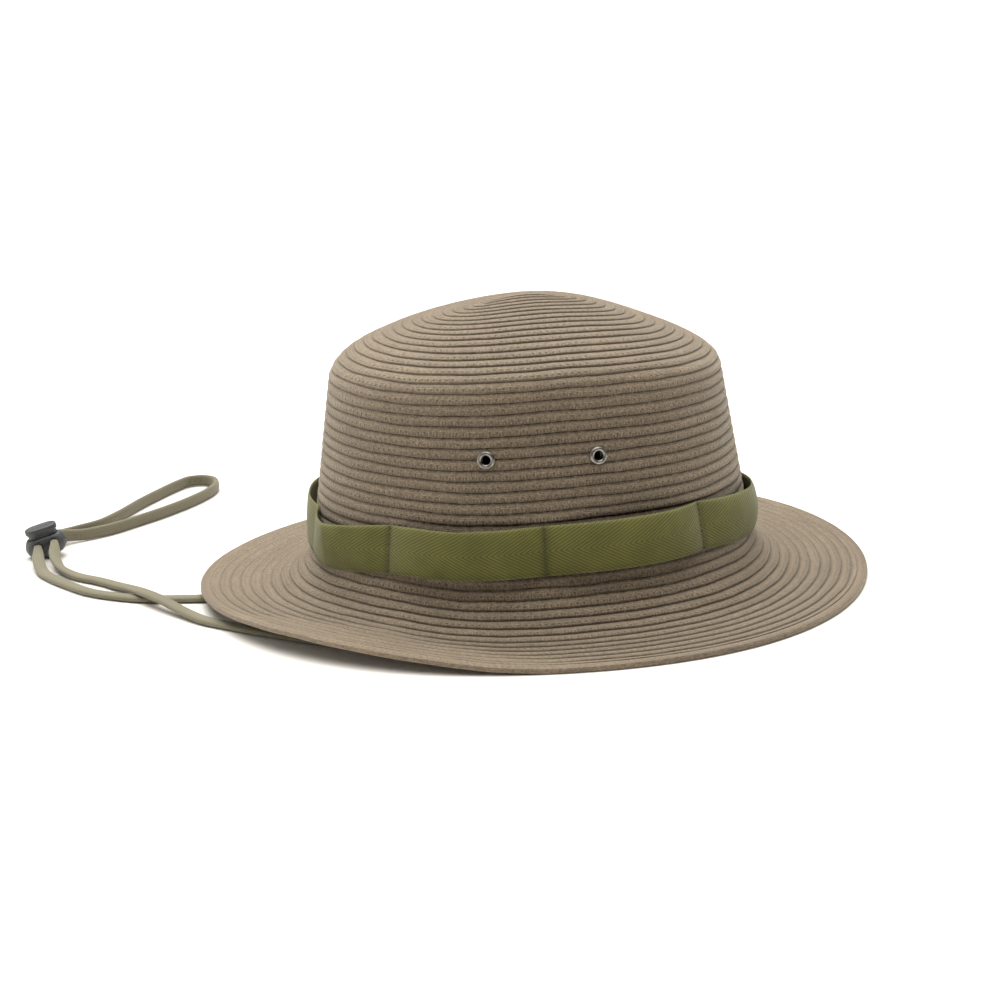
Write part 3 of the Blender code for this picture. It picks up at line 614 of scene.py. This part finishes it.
def cord_path():
    """Evenly spaced points of the cord's middle, and its length."""
    mouth, lead = LOCK_ROUND + MOUTH, LOCK_ROUND + LEAD
    near_end, far_end = ([tab_end(angle, below) for below in (0.0, SEAT_GAP, TAB_LEAD)]
                         for angle in (270.0, 90.0))
    routes = [near_end + lying(ROUTE_NEAR) + in_lock(1, -lead, -mouth, 0.0),
              in_lock(1, 0.0, mouth, lead) + lying(ROUTE_LOOP) + in_lock(-1, lead, mouth, 0.0),
              in_lock(-1, 0.0, -mouth, -lead) + lying(ROUTE_FAR) + far_end[::-1]]
    fine = []
    for route in routes:
        for k in range(len(route) - 3):
            fine += [smooth_point(*route[k:k + 4], step/FINE_STEPS) for step in range(FINE_STEPS)]
        fine.append(route[-2])
    marks = path_lengths(fine)
    count = round(marks[-1]/CORD_STEP)
    points, at = [], 0
    for k in range(count + 1):
        mark = marks[-1]*k/count
        while at < len(marks) - 2 and marks[at + 1] < mark:
            at += 1
        share = (mark - marks[at])/max(marks[at + 1] - marks[at], 1e-9)
        points.append(fine[at].lerp(fine[at + 1], min(share, 1.0)))
    return points, marks[-1]


# Turning of the cord's width: a place, a distance along the cord from it, and the tilt up from level, from
# 0 to 1, or None where the width points along X
CORD_TURNS = [
    ("start", 0.0, None), ("start", 0.008, None), ("start", 0.040, 0.0), ("start", 0.100, 0.0),
    ("start", 0.160, 0.0), ("lock_in", -0.080, 0.0), ("lock_in", -0.050, 0.0), ("lock_in", -0.028, 0.35),
    ("lock_in", 0.0, 0.0), ("lock_in", 0.016, 1.0), ("lock_in", 0.050, 1.0), ("half", -0.012, 1.0),
    ("half", 0.012, 1.0), ("lock_out", -0.050, 1.0), ("lock_out", -0.016, 1.0), ("lock_out", 0.0, 0.0),
    ("lock_out", 0.028, 0.0), ("lock_out", 0.060, 0.0), ("lock_out", 0.120, 0.0), ("end", -0.100, 0.0),
    ("end", -0.040, 0.0), ("end", -0.008, None), ("end", 0.0, None),
]


def chin_cord():
    points, length = cord_path()
    count = len(points)
    tangents = [(points[min(k + 1, count - 1)] - points[max(k - 1, 0)]).normalized()
                for k in range(count)]
    half = count//2
    near_hole, far_hole = in_lock(1, 0.0)[0], in_lock(-1, 0.0)[0]
    lock_in = min(range(half), key=lambda k: (points[k] - near_hole).length)
    lock_out = min(range(half, count), key=lambda k: (points[k] - far_hole).length)
    up = Vector((0, 0, 1))
    step = length/(count - 1)
    anchors = {"start": 0, "lock_in": lock_in, "half": half, "lock_out": lock_out, "end": count - 1}
    marks = []
    for anchor, distance, tilt in CORD_TURNS:
        k = anchors[anchor] + round(distance/step)
        if tilt is None:
            wanted = Vector((1, 0, 0))
        else:
            wanted = up.cross(tangents[k]).normalized()*(1 - tilt) + up*tilt
        marks.append((k, wanted))
    # Carry a frame along the cord, then turn it to meet the marks
    carried = [tangents[0].cross(Vector((0, 1, 0))).normalized()]
    for k in range(1, count):
        turn = tangents[k - 1].rotation_difference(tangents[k])
        carried.append((turn @ carried[-1]).normalized())
    angles, last = [], 0.0
    for k, wanted in marks:
        other = tangents[k].cross(carried[k])
        angle = math.atan2(wanted.dot(other), wanted.dot(carried[k]))
        last = angle - math.pi*round((angle - last)/math.pi)
        angles.append((k, last))
    verts, uvs = [], []
    for k in range(count):
        low = max((pair for pair in angles if pair[0] <= k), key=lambda pair: pair[0])
        high = min((pair for pair in angles if pair[0] >= k), key=lambda pair: pair[0])
        share = (k - low[0])/max(high[0] - low[0], 1)
        share = share*share*(3 - 2*share)
        angle = low[1] + (high[1] - low[1])*share
        other = tangents[k].cross(carried[k])
        wide = carried[k]*math.cos(angle) + other*math.sin(angle)
        thin = tangents[k].cross(wide)
        # In the lock the cord is squeezed to fit the hole, and under the tab to fit its gap
        squeeze = max(0.0, 1 - min(abs(k - lock_in), abs(k - lock_out))*step/LOCK_SQUEEZE)
        squeeze = min(1.0, squeeze*LOCK_GRIP)
        end = max(0.0, 1 - min(k, count - 1 - k)*step/TAB_SQUEEZE)
        squeeze = max(squeeze, min(1.0, end*TAB_GRIP)*TAB_HOLD)
        half_width = CORD_WIDTH/2*(1 - squeeze) + SQUEEZED_WIDTH*squeeze
        half_flat = CORD_FLAT/2*(1 - squeeze) + SQUEEZED_FLAT*squeeze
        middle = points[k].copy()
        reach = abs(wide.z)*half_width + abs(thin.z)*half_flat
        middle.z = max(middle.z, reach + CORD_CLEAR)
        for side in range(CORD_SIDES):
            turn = 2*math.pi*side/CORD_SIDES
            c, s = (math.copysign(abs(v)**CORD_SQUARE, v) for v in (math.cos(turn), math.sin(turn)))
            verts.append(middle + wide*(half_width*c) + thin*(half_flat*s))
            uvs.append((k*step, side/CORD_SIDES))
        points[k] = middle
    made = add_mesh("chin_cord_braided", verts, closed_tube(count, CORD_SIDES), CORD, uvs)
    dressed(made, "chin_cord")


chin_cord()


# Braid: crown and brim are one spiral of braid, each row lapping over the next one outwards

ROWS_TOP, ROWS_WALL, ROWS_BRIM = 17.72, 15.25, BRIM_ARC/BRAID_ROW
EYELET_CLEAR = 0.0009  # between an eyelet's barrel and the middle of the braid's faces round it
WANDER, WANDER_PITCH = 0.11, 55.0  # of a row's edge, in rows, and waves a metre
ROUGH, ROUGH_PITCH = 0.00005, 160.0  # of the braid's face
INNER_DEPTH = 0.00155  # least depth of the braid's inner face below the outer one
TIP = 0.006  # place up to which the top is taken as level
# Section of a row: share of the way across it, and height in millimetres
OUTER_ROW = [
    (0.0, -1.05), (0.06, -0.95), (0.19, -0.50), (0.40, -0.14), (0.64, 0.06), (0.85, 0.06), (0.95, -0.12),
    (1.0, -0.42),
]
INNER_ROW = [(0.0, 0.30), (0.08, 0.45), (0.50, 0.22), (0.93, 0.0), (1.0, 0.0)]
ROWS_END = ROWS_TOP + ROWS_WALL + ROWS_BRIM - 1.0


def row_place(row):
    if row < ROWS_TOP:
        return row/ROWS_TOP
    if row < ROWS_TOP + ROWS_WALL:
        return 1 + (row - ROWS_TOP)/ROWS_WALL
    return min(2 + (row - ROWS_TOP - ROWS_WALL)/ROWS_BRIM, 3.0)


def spiral_lengths(columns, last):
    """Length of the spiral's edge up to each step of it."""
    points = []
    for step in range((last + 1)*columns + 1):
        turn = 2*math.pi*(step % columns)/columns
        points.append(face(turn, row_place(min(step/columns, ROWS_END))))
    return path_lengths(points)


# Rows flatten towards the edge on the near left: angle, and the share of the brim where that starts
FLAT_START = [(198.0, 1.10), (212.0, 0.62), (232.0, 0.42), (250.0, 0.58), (268.0, 0.80), (285.0, 1.10)]
FLAT_RAMP, FLATTENED = 0.14, 0.86  # share of the brim that it takes, and of the height that goes


def row_relief(turn, place):
    """How much of a row's height is left at an angle and place."""
    angle = math.degrees(turn) % 360
    if not FLAT_START[0][0] < angle < FLAT_START[-1][0]:
        return 1.0
    share = (place - 2 - between(FLAT_START, 1, angle))/FLAT_RAMP
    return 1.0 - FLATTENED*min(max(share, 0.0), 1.0)


# Depth of the seams as shares of the deepest, which also sets the painted shade in them: place, near and
# far sides, left end and right end
SEAM_DEPTHS_AND_SHADE = [
    (0.00, 0.50, 0.40, 0.42), (0.85, 0.60, 0.38, 0.46), (1.20, 0.94, 0.60, 0.70),
    (1.90, 1.00, 0.64, 0.74), (2.20, 0.84, 0.62, 0.84), (2.60, 0.68, 0.54, 0.80),
    (3.00, 0.50, 0.50, 0.80),
]


# Sets how deep the rows are and how much shade is painted in their seams
def seam_depth_and_shade(turn, place):
    side, depth = math.cos(turn), math.sin(turn)
    ends = between(SEAM_DEPTHS_AND_SHADE, 2 if side < 0 else 3, place)
    return (between(SEAM_DEPTHS_AND_SHADE, 1, place)*depth**2 + ends*side**2)*row_relief(turn, place)


def braid_skin(name, columns, profile, inner, look, holes):
    """One side of the hat. A row starts on the edge of the row before it, a turn earlier."""
    last = int(ROWS_END) + 2
    lengths = spiral_lengths(columns, last)
    verts, uvs, seam_shade_marks = [], [], []
    for row in range(last + 1):
        for share, _ in profile:
            for column in range(columns + 1):
                turn = 2*math.pi*(column % columns)/columns
                spin = row + column/columns
                length = lengths[row*columns + column]
                before = lengths[max((row - 1)*columns + column, 0)]
                start = spin - 1 + WANDER*noise.noise(Vector((before*WANDER_PITCH, 0.0, 3.7)))
                end = spin + WANDER*noise.noise(Vector((length*WANDER_PITCH, 0.0, 3.7)))
                at = start + (end - start)*share
                held = min(max(at, 0.0), ROWS_END)
                across = share if held == at else (held - start)/(end - start)
                across = min(max(across, 0.0), 1.0)
                rough = ROUGH*noise.noise(Vector((length*ROUGH_PITCH, 1.5*share, 8.1)))
                place = row_place(held)
                seam = 1.0 if inner else seam_depth_and_shade(turn, place)
                height = 0.001*between(profile, 1, across)*math.sqrt(seam)
                point = face(turn, place)
                normal = outward(turn, place) if place > TIP else Vector((0, 0, 1))
                offset = -INNER_DEPTH - height - rough if inner else height + rough
                verts.append(point + normal*offset)
                uvs.append((length/BRAID_ROW, row + across*0.9999))
                seam_shade_marks.append(seam)
    kept = []
    for corners in strip_faces((last + 1)*len(profile), columns + 1):
        middle = sum((verts[k] for k in corners), Vector())/len(corners)
        if all((middle - seat.translation).length > EYELET_BARREL + EYELET_CLEAR for seat in holes):
            kept.append(corners)
    # The seam depths go to the material as a mark, for the painted seam shade
    made = add_mesh(name, verts, kept, look, uvs, 2e-6, marks={"seam_depth_and_shade": seam_shade_marks})
    dressed(made, "braid_body")


def eyelet_seats(depth):
    """Seat of each eyelet, at a depth below the outer face."""
    seats = []
    for angle, drop in EYELETS.values():
        turn = math.radians(angle)
        place = 1 + drop*EYELET_DROP/wall_length(turn)
        seats.append(facing(skin(turn, place, -depth), outward(turn, place)))
    return seats


# Section of the hem, over the edge and back below: place, and height in millimetres
HEM_SECTION = [
    (HEM_START - 0.006, -0.46), (HEM_START + 0.003, -0.36), (HEM_START + 0.015, -0.20),
    (HEM_START + 0.034, -0.05), (2.968, 0.06), (2.984, 0.02), (2.994, -0.18), (2.9990, -0.55),
    (3.0, -1.05), (3.0, -1.75), (2.9985, -2.20), (2.993, -2.48), (2.984, -2.58), (2.962, -2.58),
    (HEM_START + 0.010, -2.58), (HEM_START, -2.42), (HEM_START - 0.005, -1.95),
]
HEM_WAVE = 0.00006


def hem(columns=320):
    """The last row of braid, turned under."""
    verts, uvs, seam_shade_marks = [], [], []
    lengths = path_lengths([face(2*math.pi*column/columns, 3.0) for column in range(columns + 1)])
    for column in range(columns + 1):
        turn = 2*math.pi*column/columns
        around = 0.0
        last = None
        for place, drop in HEM_SECTION:
            wave = HEM_WAVE*noise.noise(Vector((lengths[column % columns]*120.0, place*9.0, 5.0)))
            seam = seam_depth_and_shade(turn, place)
            deep = drop*math.sqrt(seam) if drop > -1.0 and place < 2.99 else drop
            point = face(turn, place) + Vector((0, 0, deep*0.001 + (wave if drop > -2.0 else 0.0)))
            around += (point - last).length if last else 0.0
            last = point
            verts.append(point)
            uvs.append((lengths[column]/BRAID_ROW, 0.02 + around/BRAID_ROW/1.02))
            seam_shade_marks.append(seam)
    faces = strip_faces(columns + 1, len(HEM_SECTION))
    # The seam depths go to the material as a mark, for the painted seam shade
    made = add_mesh("brim_hem", verts, faces, HEM_BRAID, uvs, 2e-6, marks={"seam_depth_and_shade": seam_shade_marks})
    dressed(made, "braid_body")


HEM_BRAID = braid_look("sewn_braid_hem", 0.70, 0.85)
braid_skin("braid_outside", 216, OUTER_ROW, False, BRAID, eyelet_seats(0.0))
braid_skin("braid_inside", 150, INNER_ROW, True, INNER_BRAID, eyelet_seats(WALL_THICK))
hem()


# Eyelets

def turned(name, profile, seat, sides=40):
    """Metal ring turned about local Z from a closed profile of radius and height."""
    verts = []
    for step in range(sides):
        angle = 2*math.pi*step/sides
        verts += [seat @ Vector((r*math.cos(angle), r*math.sin(angle), h)) for r, h in profile]
    return add_mesh(name, verts, strip_faces(sides, len(profile), True, True), METAL, sharp=50)


def rolled(centre, radius, start, end, steps):
    """Arc of an ellipse, from one angle to another in degrees."""
    angles = [math.radians(start + (end - start)*k/steps) for k in range(steps + 1)]
    return [(centre[0] + radius[0]*math.cos(a), centre[1] + radius[1]*math.sin(a)) for a in angles]


EYELET_CLOSER = 0.0001  # how much less than SEAT_GAP a flange stands off
BACK_FLANGE, BACK_CROWN = 0.88, 0.0005  # share of the outer flange's radius, and thickness


def eyelets():
    back = WALL_THICK/2 + SEAT_GAP - EYELET_CLOSER
    middle = (EYELET_FLANGE + EYELET_BORE)/2
    profile = rolled((middle, back + EYELET_CLOSER/2), ((EYELET_FLANGE - EYELET_BORE)/2, EYELET_CROWN),
                     0, 180, 14)
    profile += [(EYELET_BORE, back - 0.0004), (EYELET_BORE, -back)]
    profile += rolled((middle*0.96, -back), ((EYELET_FLANGE*BACK_FLANGE - EYELET_BORE)/2, BACK_CROWN),
                      180, 360, 8)
    profile += [(EYELET_BARREL, -back), (EYELET_BARREL, back - 0.0002)]
    for name, seat in zip(EYELETS, eyelet_seats(WALL_THICK/2)):
        dressed(turned("rolled_" + name, profile, seat), name)


eyelets()


# Band

def loop_height(share, peak, sharp):
    rise = share/peak if share < peak else (1 - share)/(1 - peak)
    return 1 - (1 - rise)**(2.2 - 1.1*sharp)


BAND_COLUMNS, BAND_ACROSS = 48, 12
# The shade painted along each tack reaches this far to each side of it
TACK_HALF = 0.0026  # how far the darker webbing reaches to each side of a tack
BAND_RIPPLE = 0.00016
# Selvedge: up to a share of the width from either edge, the share of the thickness
BAND_EDGES = [(0.01, 0.72), (0.03, 1.0), (0.10, 0.92)]
STITCHES, STITCH_RADIUS, STITCH_RISE = 9, 0.00026, 0.00002


def band_lines():
    """Foot, head and outward direction of the band at close steps, and its length up to each."""
    lines = []
    first = BAND_LOOPS[0]
    for loop, after in zip(BAND_LOOPS, BAND_LOOPS[1:] + [(first[0] + 360, *first[1:])]):
        start, drop, sag, peak, upper, belly, lower, sharp = loop
        for column in range(BAND_COLUMNS):
            share = column/BAND_COLUMNS
            turn = math.radians(start + (after[0] - start)*share)
            height = loop_height(share, peak, sharp)*BAND_WIDTH
            foot_down = (drop + (after[1] - drop)*share)*BAND_WIDTH + sag*height
            foot_place = wall_place(turn, foot_down)
            head_place = wall_place(turn, foot_down - BAND_WIDTH)
            foot = skin(turn, foot_place, SEAT_GAP + lower*height)
            head = skin(turn, head_place, SEAT_GAP + upper*height)
            lines.append((foot, head, outward(turn, (foot_place + head_place)/2), belly*height))
    return lines, path_lengths([(foot + head)/2 for foot, head, _, _ in lines + lines[:1]])


def hat_band():
    lines, lengths = band_lines()
    verts, uvs, tack_shades = [], [], []
    for k in range(len(lines) + 1):
        foot, head, out, bulge = lines[k % len(lines)]
        loop = round(k/BAND_COLUMNS) % len(BAND_LOOPS)
        tack = lengths[BAND_COLUMNS*round(k/BAND_COLUMNS)]
        # Painted shade close to each tack, none at the first
        near = 0.0 if loop == 0 else max(0.0, 1 - abs(lengths[k] - tack)/TACK_HALF)
        for side in (1, 0):
            for step in range(BAND_ACROSS + 1):
                across = step/BAND_ACROSS if side else 1 - step/BAND_ACROSS
                edge = min(across, 1 - across)
                thick = BAND_THICK*next((size for reach, size in BAND_EDGES if edge < reach), 1.0)
                depth = thick if side else BAND_THICK - thick
                ripple = BAND_RIPPLE*noise.noise(Vector((lengths[k % len(lines)]*70.0, across*2.0, 1.0)))
                swell = 4*bulge*across*(1 - across)
                verts.append(foot.lerp(head, across) + out*(depth + swell + ripple))
                uvs.append((lengths[k], across))
                tack_shades.append(near)
    faces = strip_faces(len(lines) + 1, 2*(BAND_ACROSS + 1), closed_columns=True)
    made = add_mesh("hat_band_webbing", verts, faces, WEBBING, uvs, 2e-6, marks={"tack": tack_shades})
    dressed(made, "hat_band")
    return lines


# First half of a stitch: share of its length, and shares of its radius for its size and its height
STITCH_HALF = [(0.0, 0.15, -0.5), (0.12, 0.75, 0.0), (0.35, 1.0, 0.35)]


def capsule(verts, faces, start, end, radius, up, sides=8):
    """Adds one short stitch: a rounded thread that dips at both ends."""
    along = end - start
    side = along.normalized().cross(up).normalized()
    base = len(verts)
    levels = STITCH_HALF + [(1 - share, size, lift) for share, size, lift in STITCH_HALF[::-1]]
    for share, size, lift in levels:
        middle = start + along*share + up*(radius*lift)
        for step in range(sides):
            turn = 2*math.pi*step/sides
            verts.append(middle + side*(radius*size*math.cos(turn)) + up*(radius*size*math.sin(turn)))
    faces += closed_tube(len(levels), sides, base)


def tack_stitches(lines):
    """Rows of stitches that hold the band down between its loops."""
    verts, faces = [], []
    for loop in range(1, len(BAND_LOOPS)):
        foot, head, out, _ = lines[loop*BAND_COLUMNS]
        rise = out*(BAND_THICK + STITCH_RISE)
        for k in range(STITCHES):
            start, end = (foot.lerp(head, (k + share)/STITCHES) + rise for share in (0.12, 0.86))
            capsule(verts, faces, start, end, STITCH_RADIUS, out)
    dressed(add_mesh("band_tack_stitches", verts, faces, BAND_THREAD), None)


tack_stitches(hat_band())


# Tabs that hold the cord's ends inside the crown

TAB_PINCH = [0.00035, 0.00008, 0.0]  # drawn in at the edge and inwards from it


def cord_tab(name, angle):
    seat = tab_seat(angle)
    front = -WALL_THICK - TAB_GAP
    across, down = 10, 18
    verts, uvs = [], []
    for side in (1, 0):
        for row in range(down + 1):
            for column in range(across + 1):
                x = (column/across - 0.5)*TAB_WIDTH
                y = -TAB_LENGTH*row/down
                edge = min(column, across - column, row, down - row)
                pinch = TAB_PINCH[min(edge, 2)]
                z = front - pinch if side else front - TAB_THICK + pinch
                verts.append(seat @ Vector((x, y, z)))
                uvs.append((y, column/across))
    size = (across + 1)*(down + 1)
    faces = strip_faces(down + 1, across + 1) + strip_faces(down + 1, across + 1, base=size)
    rim = list(range(across + 1)) + [(row + 1)*(across + 1) + across for row in range(down)]
    rim += [down*(across + 1) + across - 1 - k for k in range(across)]
    rim += [(down - 1 - row)*(across + 1) for row in range(down - 1)]
    for k, here in enumerate(rim):
        after = rim[(k + 1) % len(rim)]
        faces.append((here, after, size + after, size + here))
    dressed(add_mesh(name + "_webbing", verts, faces, WEBBING, uvs), name)


cord_tab("cord_tab_near", 270.0)
cord_tab("cord_tab_far", 90.0)


# Cord lock

def pill(half_length, radius, sides=20):
    points = []
    for end in (1, -1):
        for step in range(sides + 1):
            angle = math.radians(-90 + 180*step/sides) + (0 if end > 0 else math.pi)
            points.append((end*(half_length - radius) + radius*math.cos(angle), radius*math.sin(angle)))
    return points


def pill_solid(name, levels):
    verts = []
    for height, half_length, radius in levels:
        verts += [LOCK_SEAT @ Vector((x, y, height)) for x, y in pill(half_length, radius)]
    return add_mesh(name, verts, closed_tube(len(levels), len(verts)//len(levels)), PLASTIC, sharp=35)


HOLE_SIDES = 16  # of each half of a hole
FLARE_DEPTH, FLARE_PAST = 0.0010, 0.0002  # how deep a hole's flare goes, and how far past the body


def lock_hole(name, side, rise, flare):
    """Cutter for one run of cord through the lock, wider at its mouths."""
    radius = TUBE_RADIUS + HOLE_GAP
    half = [(LOCK_ROUND - FLARE_DEPTH, 1.0), (LOCK_ROUND + FLARE_PAST, 1.0 + flare),
            (2*LOCK_ROUND, 1.0 + flare)]
    rings = [(-along, size) for along, size in half[::-1]] + half
    verts = []
    for along, size in rings:
        for centre, first in ((HOLE_HEIGHT + rise, 0), (HOLE_HEIGHT, 180)):
            for step in range(HOLE_SIDES):
                angle = math.radians(first + 180*(step + 0.5)/HOLE_SIDES)
                verts.append(LOCK_SEAT @ Vector((side*HOLE_PITCH/2 + radius*size*math.cos(angle), along,
                                                 centre + radius*size*math.sin(angle))))
    return add_mesh(name, verts, closed_tube(len(rings), 2*HOLE_SIDES), PLASTIC)


def cut(target, cutters, name):
    """New object: the target with the cutters taken out of it."""
    for cutter in cutters:
        step = target.modifiers.new(cutter.name, "BOOLEAN")
        step.operation, step.solver, step.object = "DIFFERENCE", "EXACT", cutter
    depsgraph = bpy.context.evaluated_depsgraph_get()
    mesh = bpy.data.meshes.new_from_object(target.evaluated_get(depsgraph))
    mesh.name = name
    mesh.shade_smooth()
    mesh.set_sharp_from_angle(angle=math.radians(38))
    mesh.materials.clear()
    mesh.materials.append(PLASTIC)
    made = linked(name, mesh)
    for old in [target] + cutters:
        bpy.data.objects.remove(old, do_unlink=True)
    return made


# Edges of the cap: height above its foot or drop below its top, and how far it is drawn in there
CAP_FOOT = [(0.0, 0.0004), (0.00015, 0.0001), (0.0006, 0.0)]
CAP_TOP = [(0.0008, 0.0), (0.0003, 0.00018), (0.00005, 0.00050), (0.0, 0.0009), (0.0002, 0.0016)]


def cord_lock():
    pocket_half, pocket_round = LOCK_HALF - LOCK_END, LOCK_ROUND - LOCK_WALL
    levels = [(height*LOCK_HEIGHT, LOCK_HALF - end*LOCK_END, LOCK_ROUND - wall*LOCK_WALL)
              for height, end, wall in LOCK_LEVELS]
    body = pill_solid("blank_body", levels)
    pocket = pill_solid("cut_pocket", [(LOCK_FLOOR, pocket_half, pocket_round),
                                       (2*LOCK_HEIGHT, pocket_half, pocket_round)])
    holes = [lock_hole("cut_hole", side, 0.0, 0.22) for side in (-1, 1)]
    dressed(cut(body, [pocket] + holes, "cord_lock_body_moulded"), "cord_lock_body")
    stem_half, stem_round = pocket_half - STEM_GAP, pocket_round - STEM_GAP
    stem_foot = LOCK_FLOOR + STEM_GAP + PRESS
    cap_half, cap_round = stem_half + CAP_OVERHANG, stem_round + CAP_OVERHANG*1.5
    cap_foot = LOCK_HEIGHT + CAP_GAP
    cap_top = cap_foot + CAP_THICK
    levels = [(stem_foot, stem_half, stem_round), (cap_foot - 0.0006, stem_half, stem_round),
              (cap_foot - 0.0001, stem_half + 0.0001, stem_round + 0.0001)]
    levels += [(cap_foot + rise, cap_half - inset, cap_round - inset) for rise, inset in CAP_FOOT]
    levels += [(cap_top - drop, cap_half - inset, cap_round - inset) for drop, inset in CAP_TOP]
    button = pill_solid("blank_button", levels)
    slots = [lock_hole("cut_slot", side, PRESS, 0.0) for side in (-1, 1)]
    button = cut(button, slots, "cord_lock_button_moulded")
    dressed(button, "cord_lock_button", "lock_button")


cord_lock()


# Floor, light and colour

# Broad soft lights: energy, spread in degrees and the way that they shine
LIGHTS = [
    ("back_light", 3.22, 60.0, (0.00, -0.53, -1.00)),
    ("overhead_light", 3.16, 70.0, (0.00, 0.00, -1.00)),
    ("left_light", 0.92, 46.0, (0.85, -0.15, -0.30)),
    ("right_light", 0.37, 46.0, (-0.80, -0.24, -0.58)),
]
LIGHT_COLOUR = (1.0, 0.966, 0.915)
WORLD_COLOUR, WORLD_STRENGTH = (1.0, 0.94, 0.82, 1.0), 0.07
FLOOR_HALF, FLOOR_DROP = 30.0, 0.0001


def stage():
    look = Look("floor_paint", Specular_IOR_Level=0.1)
    speck = look.noise(look.place(), 3.0, 1.0)
    look.finish(look.mix(speck, (0.775, 0.765, 0.745), (0.790, 0.780, 0.760)), roughness=0.9)
    verts = [(x*FLOOR_HALF, y*FLOOR_HALF, -FLOOR_DROP) for x, y in ((-1, -1), (1, -1), (1, 1), (-1, 1))]
    floor = add_mesh("floor", verts, [(0, 1, 2, 3)], look.made)
    world = bpy.data.worlds.new("studio")
    bpy.context.scene.world = world
    world.use_nodes = True
    sockets = world.node_tree.nodes["Background"].inputs
    sockets["Color"].default_value = WORLD_COLOUR
    sockets["Strength"].default_value = WORLD_STRENGTH
    for name, energy, spread, shines in LIGHTS:
        light = bpy.data.lights.new(name, "SUN")
        light.energy, light.angle, light.color = energy, math.radians(spread), LIGHT_COLOUR
        lamp = linked(name, light)
        lamp.rotation_mode = "QUATERNION"
        lamp.rotation_quaternion = Vector(shines).to_track_quat("-Z", "Y")
    bpy.context.scene.view_settings.view_transform = "Standard"
    bpy.context.scene.view_settings.look = "None"


stage()
